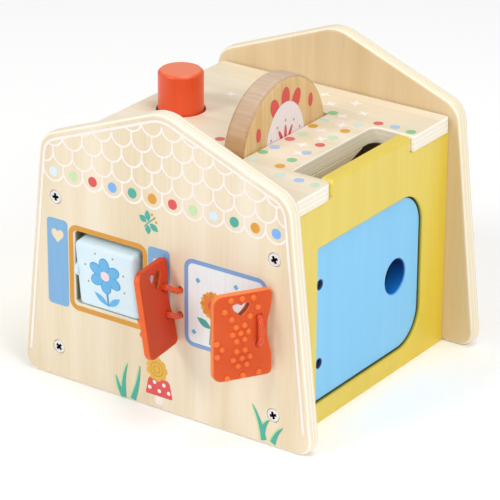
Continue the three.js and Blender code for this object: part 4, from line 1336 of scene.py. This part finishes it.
def ribbon(points, width):
    """The outline of a line of one width along open points."""
    left, right = [], []
    for i, here in enumerate(points):
        ahead = (points[min(i + 1, len(points) - 1)] - points[max(i - 1, 0)]).normalized()
        side = Vector((-ahead.y, ahead.x)) * width / 2
        left.append(here + side)
        right.append(here - side)
    return right + left[::-1]


def ring_shape(low, high, width, radius):
    """A rounded rectangular line, measured outside."""
    step = Vector((width, width))
    return [rectangle(low, high, radius), hole(rectangle(low + step, high - step, radius - width))]


def leaf_shape(base, tip, width, lean):
    """A blade from base to tip that bulges to one side."""
    base, tip = Vector(base), Vector(tip)
    along = tip - base
    side = Vector((-along.y, along.x)).normalized()
    shares = [i / ARC_STEPS for i in range(ARC_STEPS + 1)]
    spine = [base + along * share + side * lean * sin(pi * share) for share in shares]
    reach = [width * (1 - share) ** BLADE_TAPER / 2 for share in shares]
    left = [p + side * r for p, r in zip(spine, reach)]
    right = [p - side * r for p, r in zip(spine, reach)]
    return right + left[-2::-1]


def lens(base, tip, width):
    """A leaf that is pointed at both ends."""
    base, tip = Vector(base), Vector(tip)
    side = Vector((base.y - tip.y, tip.x - base.x)).normalized() * width / 2
    shares = [i / ARC_STEPS for i in range(ARC_STEPS + 1)]
    right = [base.lerp(tip, share) - side * sin(pi * share) for share in shares]
    left = [base.lerp(tip, share) + side * sin(pi * share) for share in shares[1:-1]]
    return right + left[::-1]


def ellipse(centre, across, along, angle, sides=SMALL_SIDES):
    """An ellipse whose long axis points at an angle."""
    turn = Matrix.Rotation(angle, 2)
    return [Vector(centre) + turn @ Vector((along * cos(t), across * sin(t)))
            for t in (tau * i / sides for i in range(sides))]


def dots(spots, radius, sides=SMALL_SIDES):
    return [[circle(spot, radius, sides)] for spot in spots]


def petals(centre, count, inner, length, width, start=0):
    """A ring of petals whose inner ends lie on a circle."""
    angles = [start + tau * i / count for i in range(count)]
    reach = inner + length / 2
    return [[ellipse(centre + polar(reach, angle), width / 2, length / 2, angle)] for angle in angles]


def stacked(shapes):
    """Each shape in a layer of its own, so that shapes that cross lie over each other."""
    return [[shape] for shape in shapes]


def rosette_petals():
    """Petals that come out from under the oval of the rosette."""
    shapes = []
    for degrees in ROSETTE_ANGLES:
        angle = radians(degrees)
        reach = 1 / Vector((cos(angle) / ROSETTE_HALF.x, sin(angle) / ROSETTE_HALF.y)).length
        middle = WHEEL_CENTRE + polar(reach - ROSETTE_OVERLAP + ROSETTE_LENGTH / 2, angle)
        shapes.append([ellipse(middle, ROSETTE_WIDTH / 2, ROSETTE_LENGTH / 2, angle)])
    return shapes


def sparkle(centre, turn):
    """A small star with four long thin points."""
    reaches = [DECK_STAR, DECK_STAR * STAR_WAIST_SHARE] * 4
    return [[Vector(centre) + polar(reach, turn + pi * i / 4) for i, reach in enumerate(reaches)]]


def inside(points, spot):
    """Whether a point lies inside a closed convex outline that runs counter-clockwise."""
    return all((b - a).cross(spot - a) >= 0 for a, b in zip(points, points[1:] + points[:1]))


def roof_bounds():
    points = gable_points()
    return inset(points, [LINE_INSET] * len(points))


def roof_line():
    """The white line that runs up one side, over the roof and down the other."""
    points = roof_bounds()
    upper = [p for p in points if p.y > LINE_START + FOOT_ROUND]
    first = next(i for i, p in enumerate(upper) if p.x > 0)
    ordered = upper[first:] + upper[:first]
    slope = (points[0].x - ordered[-1].x) / (points[0].y - ordered[-1].y)
    foot = Vector((ordered[0].x - slope * (LINE_START - ordered[0].y), LINE_START))
    return [foot, *ordered, Vector((-foot.x, foot.y))]


def scale_lines():
    """Rows of fish-scale arcs below the roof line, each row half a pitch beside the one below."""
    bounds = roof_bounds()
    half = SCALE_PITCH / 2
    arcs = [[], [], [], []]
    stems = [[], []]
    for row in range(SCALE_ROWS):
        low = SCALE_LOW + row * SCALE_STEP
        odd = row % 2
        for i in range(SCALE_COUNT + odd):
            x = SCALE_SHIFT - SCALE_PITCH * (SCALE_COUNT - 1) / 2 - half * odd + i * SCALE_PITCH
            arc = [Vector((x, low + half)) + polar(half, pi + pi * k / (2 * ARC_STEPS))
                   for k in range(2 * ARC_STEPS + 1)]
            sides = (x - half, x + half) if i == SCALE_COUNT + odd - 1 else (x - half,)
            uprights = [[Vector((side, low + half)), Vector((side, low + SCALE_STEP))] for side in sides]
            lines = [(arc, arcs[odd * 2 + i % 2])] + [(upright, stems[odd]) for upright in uprights]
            for line, layer in lines:
                kept = [p for p in line if inside(bounds, p)]
                if len(kept) > 1:
                    layer.append([ribbon(kept, SCALE_WIDTH)])
    return arcs + stems


# Rows of prints: a name, its layers of shapes, its ink and the level of its first layer

def roof_rows():
    places = [SCALE_SHIFT + SCALE_PITCH * (i - (SCALE_COUNT - 1) / 2) for i in range(SCALE_COUNT)]
    rows = [("roof_line_print", [[[ribbon(roof_line(), LINE_WIDTH)]]], "white", ROOF_LINE_LEVEL),
            ("roof_scales_print", scale_lines(), "white", 0)]
    for tone in sorted(set(DOT_COLOURS)):
        spots = [(place, DOT_HEIGHT) for place, own in zip(places, DOT_COLOURS) if own == tone]
        rows.append(("roof_dots_" + tone, [dots(spots, DOT_RADIUS)], tone, 0))
    return rows


def frame_rows():
    """The frames of the window and the picture, and the shutters beside them."""
    picture = ring_shape(PICTURE_LOW, PICTURE_HIGH, PICTURE_LINE, PICTURE_ROUND)
    low, high = SHUTTER_Z
    shutters = []
    for left, right in SHUTTER_X:
        board_shape = rectangle(Vector((left, low)), Vector((right, high)), SHUTTER_ROUND)
        cut = plump_heart((left + right) / 2, SHUTTER_HEART_LOW, SHUTTER_HEART, SHUTTER_HEART_HEIGHT)
        shutters.append([board_shape, hole(cut)])
    return [
        ("window_frame_print", [[ring_shape(FRAME_LOW, FRAME_HIGH, FRAME_WIDTH, FRAME_ROUND)]], "frame", 0),
        ("picture_frame_print", [[picture]], "line", 0),
        ("picture_ground_print", [[[hole(picture[1])]]], "ground", 0),
        ("shutters_print", [shutters], "sky", 0),
    ]


def plant_rows():
    """Grass with a pale half below each darker blade, and a sprig between the roof and the window."""
    rows = []
    for tone, shift, level in (("lime", -GRASS_SHIFT, 0), ("teal", 0, len(GRASS))):
        blades = [[leaf_shape((x0 + shift, z0), (x1 + shift, z1), GRASS_WIDTH, lean)]
                  for (x0, z0), (x1, z1), lean in GRASS]
        rows.append(("grass_" + tone, stacked(blades), tone, level))
    leaves = [[lens(*(SPRIG_PLACE + Vector(end) for end in ends), SPRIG_WIDTH)] for ends in SPRIG_LEAVES]
    stem = [SPRIG_PLACE + Vector(spot) for spot in SPRIG_STEM]
    berries = [SPRIG_PLACE + Vector(spot) for spot in SPRIG_BERRIES]
    return rows + [
        ("sprig_teal", [leaves], "teal", 0),
        ("sprig_leaf", [[[ribbon(stem, SPRIG_LINE)]]], "leaf", 1),
        ("sprig_gold", [dots(berries, SPRIG_BERRY)], "gold", 2),
    ]


def pot_rows():
    """A flower pot with a round flower below the flaps."""
    ring = petals(POT_FLOWER, POT_PETALS, POT_PETAL_START, POT_PETAL_LENGTH, POT_PETAL_WIDTH)
    rings = [[circle(POT_FLOWER, low + POT_RING), hole(circle(POT_FLOWER, low))] for low in POT_RINGS]
    return [
        ("pot_foot", [[[rectangle(POT_FOOT_LOW, POT_FOOT_HIGH, POT_FOOT_ROUND)]]], "white", 0),
        ("pot_body", [[[outline(POT_CORNERS)]]], "red", 1),
        ("pot_dots", [dots(POT_DOTS, POT_DOT)], "white", 2),
        ("pot_stem", [[[ribbon([POT_STEM_LOW, POT_FLOWER], SPRIG_LINE)]]], "leaf", 0),
        ("pot_petals", stacked(ring), "sun", 3),
        ("pot_flower", [dots([POT_FLOWER], POT_FLOWER_RADIUS, ROUND_SIDES)], "sun", 3 + POT_PETALS),
        ("pot_flower_rings", [rings], "gold", 4 + POT_PETALS),
    ]


def daisy_rows():
    """The picture behind the flaps: a daisy under small diamonds."""
    leaves = [[lens(DAISY_STEM[1], tip, DAISY_LEAF)] for tip in DAISY_LEAVES]
    inner, outer = (petals(DAISY_PLACE, DAISY_PETALS, DAISY_START, DAISY_LENGTH, DAISY_WIDTH, turn)
                    for turn in (0, pi / DAISY_PETALS))
    return [
        ("daisy_stem", [[[ribbon(DAISY_STEM, DAISY_LINE)]]], "teal", 1),
        ("daisy_leaves", stacked(leaves), "teal", 2),
        ("daisy_petals_sun", stacked(inner), "sun", 4),
        ("daisy_petals_orange", stacked(outer), "orange", 4 + DAISY_PETALS),
        ("daisy_centre", [dots([DAISY_PLACE], DAISY_CENTRE)], "red", 4 + 2 * DAISY_PETALS),
        ("picture_diamonds", [dots(DIAMONDS, DIAMOND_REACH, DIAMOND_SIDES)], "petal", 1),
    ]


def deck_rows():
    rows = [("deck_dots_" + tone, [dots(spots, DECK_DOT)], tone, 1) for tone, spots in DECK_DOTS.items()]
    stars = [sparkle(spot, turn) for turn, spot in enumerate(DECK_STARS)]
    return rows + [("deck_stars", [stars], "white", 0)]


def wheel_rows():
    """A rosette: an oval with petals round it and a ring of spots and a small cross of petals in it."""
    drops = [WHEEL_CENTRE + polar(reach, radians(angle)) for reach, angle in ROSETTE_DROPS]
    upright = (ROSETTE_DROP_WIDTH / 2, ROSETTE_DROP / 2, pi / 2)
    spots = [WHEEL_CENTRE + polar(ROSETTE_SPOT_RING, tau * i / ROSETTE_SPOT_COUNT)
             for i in range(ROSETTE_SPOT_COUNT)]
    middle = ROSETTE_INNER_START + ROSETTE_INNER / 2
    inner = [[ellipse(WHEEL_CENTRE + polar(middle, angle), ROSETTE_INNER_WIDTH / 2, ROSETTE_INNER / 2, angle)]
             for angle in map(radians, ROSETTE_INNER_ANGLES)]
    oval = ellipse(WHEEL_CENTRE, ROSETTE_HALF.x, ROSETTE_HALF.y, pi / 2, ROUND_SIDES)
    level = len(ROSETTE_ANGLES)
    return [
        ("wheel_petals", stacked(rosette_petals()), "red", 0),
        ("wheel_drops", [[[ellipse(spot, *upright)] for spot in drops]], "red", 0),
        ("wheel_oval", [[[oval]]], "blush", level),
        ("wheel_spots", [dots(spots, ROSETTE_SPOT)], "amber", level + 1),
        ("wheel_heart", [inner], "red", level + 2),
    ]


def block_rows():
    """A flower on the block's front side, each of its petals with a darker line round it."""
    leaves = [[lens(BLOOM_FOOT, tip, BLOOM_LEAF)] for tip in BLOOM_LEAVES]
    lined, plain = (petals(BLOOM_PLACE, BLOOM_PETALS, BLOOM_START - line, BLOOM_LENGTH + 2 * line,
                           BLOOM_WIDTH + 2 * line, BLOOM_TURN) for line in (BLOOM_LINE, 0))
    spots = [BLOOM_PLACE + Vector(spot) for spot in BLOOM_SPOTS]
    return [
        ("block_stem", [[[ribbon([BLOOM_FOOT, BLOOM_PLACE], BLOOM_STEM)]]], "petal_line", 0),
        ("block_leaves", stacked(leaves), "petal", 1),
        ("block_petal_lines", stacked(lined), "petal_line", 3),
        ("block_petals", stacked(plain), "petal", 3 + BLOOM_PETALS),
        ("block_centre", [dots([BLOOM_PLACE], BLOOM_CENTRE)], "pink", 3 + 2 * BLOOM_PETALS),
        ("block_spots", stacked(dots(spots, BLOOM_SPOT)), "gold", 0),
    ]


# Floor and light

def add_floor():
    bm = bmesh.new()
    bmesh.ops.create_grid(bm, x_segments=1, y_segments=1, size=FLOOR_SIZE / 2)
    floor = mesh_object("floor", bm)
    pale, tree, shader = new_material("floor", roughness=0.9)
    shader.inputs["Base Color"].default_value = colour("#FFFFFF")
    shader.inputs["Emission Color"].default_value = colour("#FFFFFF")
    shader.inputs["Emission Strength"].default_value = FLOOR_GLOW
    floor.data.materials.append(pale)


def add_light(name, place, size, power):
    data = bpy.data.lights.new(name, "AREA")
    data.shape = "DISK"
    data.size = size
    data.energy = power
    light = linked(name, data)
    light.location = place
    light.rotation_mode = "QUATERNION"
    light.rotation_quaternion = (Vector(place) - CAMERA_TARGET).to_track_quat("Z", "Y")


def light_world():
    world = bpy.data.worlds.new("studio")
    world.use_nodes = True
    background = world.node_tree.nodes["Background"]
    background.inputs["Color"].default_value = colour("#FFFFFF")
    background.inputs["Strength"].default_value = WORLD_STRENGTH
    bpy.context.scene.world = world
    bpy.context.scene.view_settings.view_transform = "Standard"


# The scene
add_camera()

cord_sheath = woven("cord sheath", "#FF7A35", "#CC2A12")
for flap_side in FLAP_PLACES:
    add_hinge_cord(flap_side, cord_sheath)

# The rear shade tone is painted shade that deepens the yellow towards the rear and the foot
wall_tones = {"light": "#EBD45F", "dark": "#E3C94B", "rear_shade": "#FFF8A4"}
# Painted shade for the doorway's wall
doorway_shade_tone = ("#5E5618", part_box("right_wall")[1].x)
# The walls of the door's holes get painted shade, darker towards their top
door_well_shades = [(FINGER_PLACE, FINGER_RADIUS, "#0F7FDC", "#062E78")]
door_well_shades += [((WELL_Y, z), WELL_RADIUS, "#0F3A78", "#0B2A5C") for z in WELL_Z]
# The yellow's crown is painted shade on the tab's top
yellow = paint("yellow paint", crown="#E3CB55", reveal_shade=doorway_shade_tone, **wall_tones)
left_yellow = paint("left wall paint", **wall_tones)
sky = paint("sky paint", "#84CFFA", "#79C7F6", wells=door_well_shades)
# The orange's crown is a painted highlight on the chimney's top
orange = paint("orange paint", "#EE5420", "#E44814", roughness=0.35, coat=0.15, crown="#F08058")
beech = wheel_wood("wheel beech")
pine = solid_wood("pine", ["#D0AE78", "#DFC494", "#EBD5AC"], along=1, ring_width=PINE_RINGS)
pale_pine = solid_wood("pale pine", ["#EEDFC6", "#F6ECDA", "#FDF8EE"], along=1, ring_width=PINE_RINGS)
dowel = solid_wood("dowel", ["#CDA871", "#DDBB88", "#E9CDA0"], along=2, ring_width=DOWEL_RINGS)
# The left flap's plastic is a darker copy of the right one's, in painted shade
flap_plastics = {
    "left": shaded_flap_plastic("left flap plastic", "#BE4117", "#D63A15", "#E8652C"),
    # The right flap's edge tone is a painted highlight on its rounded rim
    "right": plastic("flap plastic", "#E05A22", "#D85018", roughness=0.42, gloss=0.28,
                     edge=("#F08448", FLAP_FACING)),
}
# A paler, lit copy of the flap plastic for the bumps: painted light
lit_bump_plastic = plastic("bump plastic", "#F27A38", "#EC7030", roughness=0.4)
block_plastic = plastic("block plastic", "#DCF0F9", "#D2EAF7", roughness=0.25, coat=0.3, gloss=0.5)
steel = zinc("zinc plated steel", "#DAD9D7", "#F4F3F1", roughness=0.3)
# Near-black zinc as painted shade, in the screws' cross recesses and on the door's sunk screws
recess_shade_steel = zinc("zinc in the recess", "#1C1916", "#332E2A", roughness=0.6)
base_low, base_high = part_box("base_board")
base_wood = birch("base birch", along=1, across=2, low=base_low.z, thick=base_high.z - base_low.z)
inks = {key: ink(key + " ink", tone) for key, tone in INKS.items()}
deck_inks = {key: ink(key + " deck ink", tone, along=0) for key, tone in DECK_INKS.items()}

add_gables()
add_deck()
add_batten(pale_pine)
add_right_wall(yellow)
add_left_wall(left_yellow)
add_door(sky)
add_wheel(beech)
add_chimney(orange)
add_block(block_plastic)
for flap_side in FLAP_PLACES:
    add_flap(flap_side, flap_plastics[flap_side], lit_bump_plastic)
add_gable_screws(steel, recess_shade_steel)
add_spring(steel)

front_face = axes((0, front_low.y, 0), (1, 0, 0), (0, 0, 1), (0, -1, 0))
for rows in (roof_rows(), frame_rows(), plant_rows(), pot_rows(), daisy_rows()):
    add_prints(rows, front_face, inks, "house", "birch_ply")
add_prints(deck_rows(), Matrix.Translation((0, 0, deck_high.z)), deck_inks, "house", "birch_ply")
add_prints(wheel_rows(), wall_place(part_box("wheel_disc")[1].x), inks, "wheel", "beech")
block_face = block_frame() @ axes((0, -BLOCK_SIZE.y / 2, 0), (1, 0, 0), (0, 0, 1), (0, -1, 0))
add_prints(block_rows(), block_face, inks, "block", "pale_block")

# Carried-over CAD nodes take the material of their slot, but the door's sunk screws take the dark zinc of
# painted shade
slot_materials = {"steel": steel, "pine": pine, "beech": dowel, "birch_ply": base_wood}
for entry in frame["record"]["subparts"]:
    body_node = frame["nodes"][entry["node"]]
    if not body_node.hide_render:
        sunk = entry["node"].startswith("door_screw")
        body_node.data.materials.clear()
        body_node.data.materials.append(recess_shade_steel if sunk else slot_materials[entry["material_slot"]])

add_floor()
for light_values in LIGHTS:
    add_light(*light_values)
light_world()
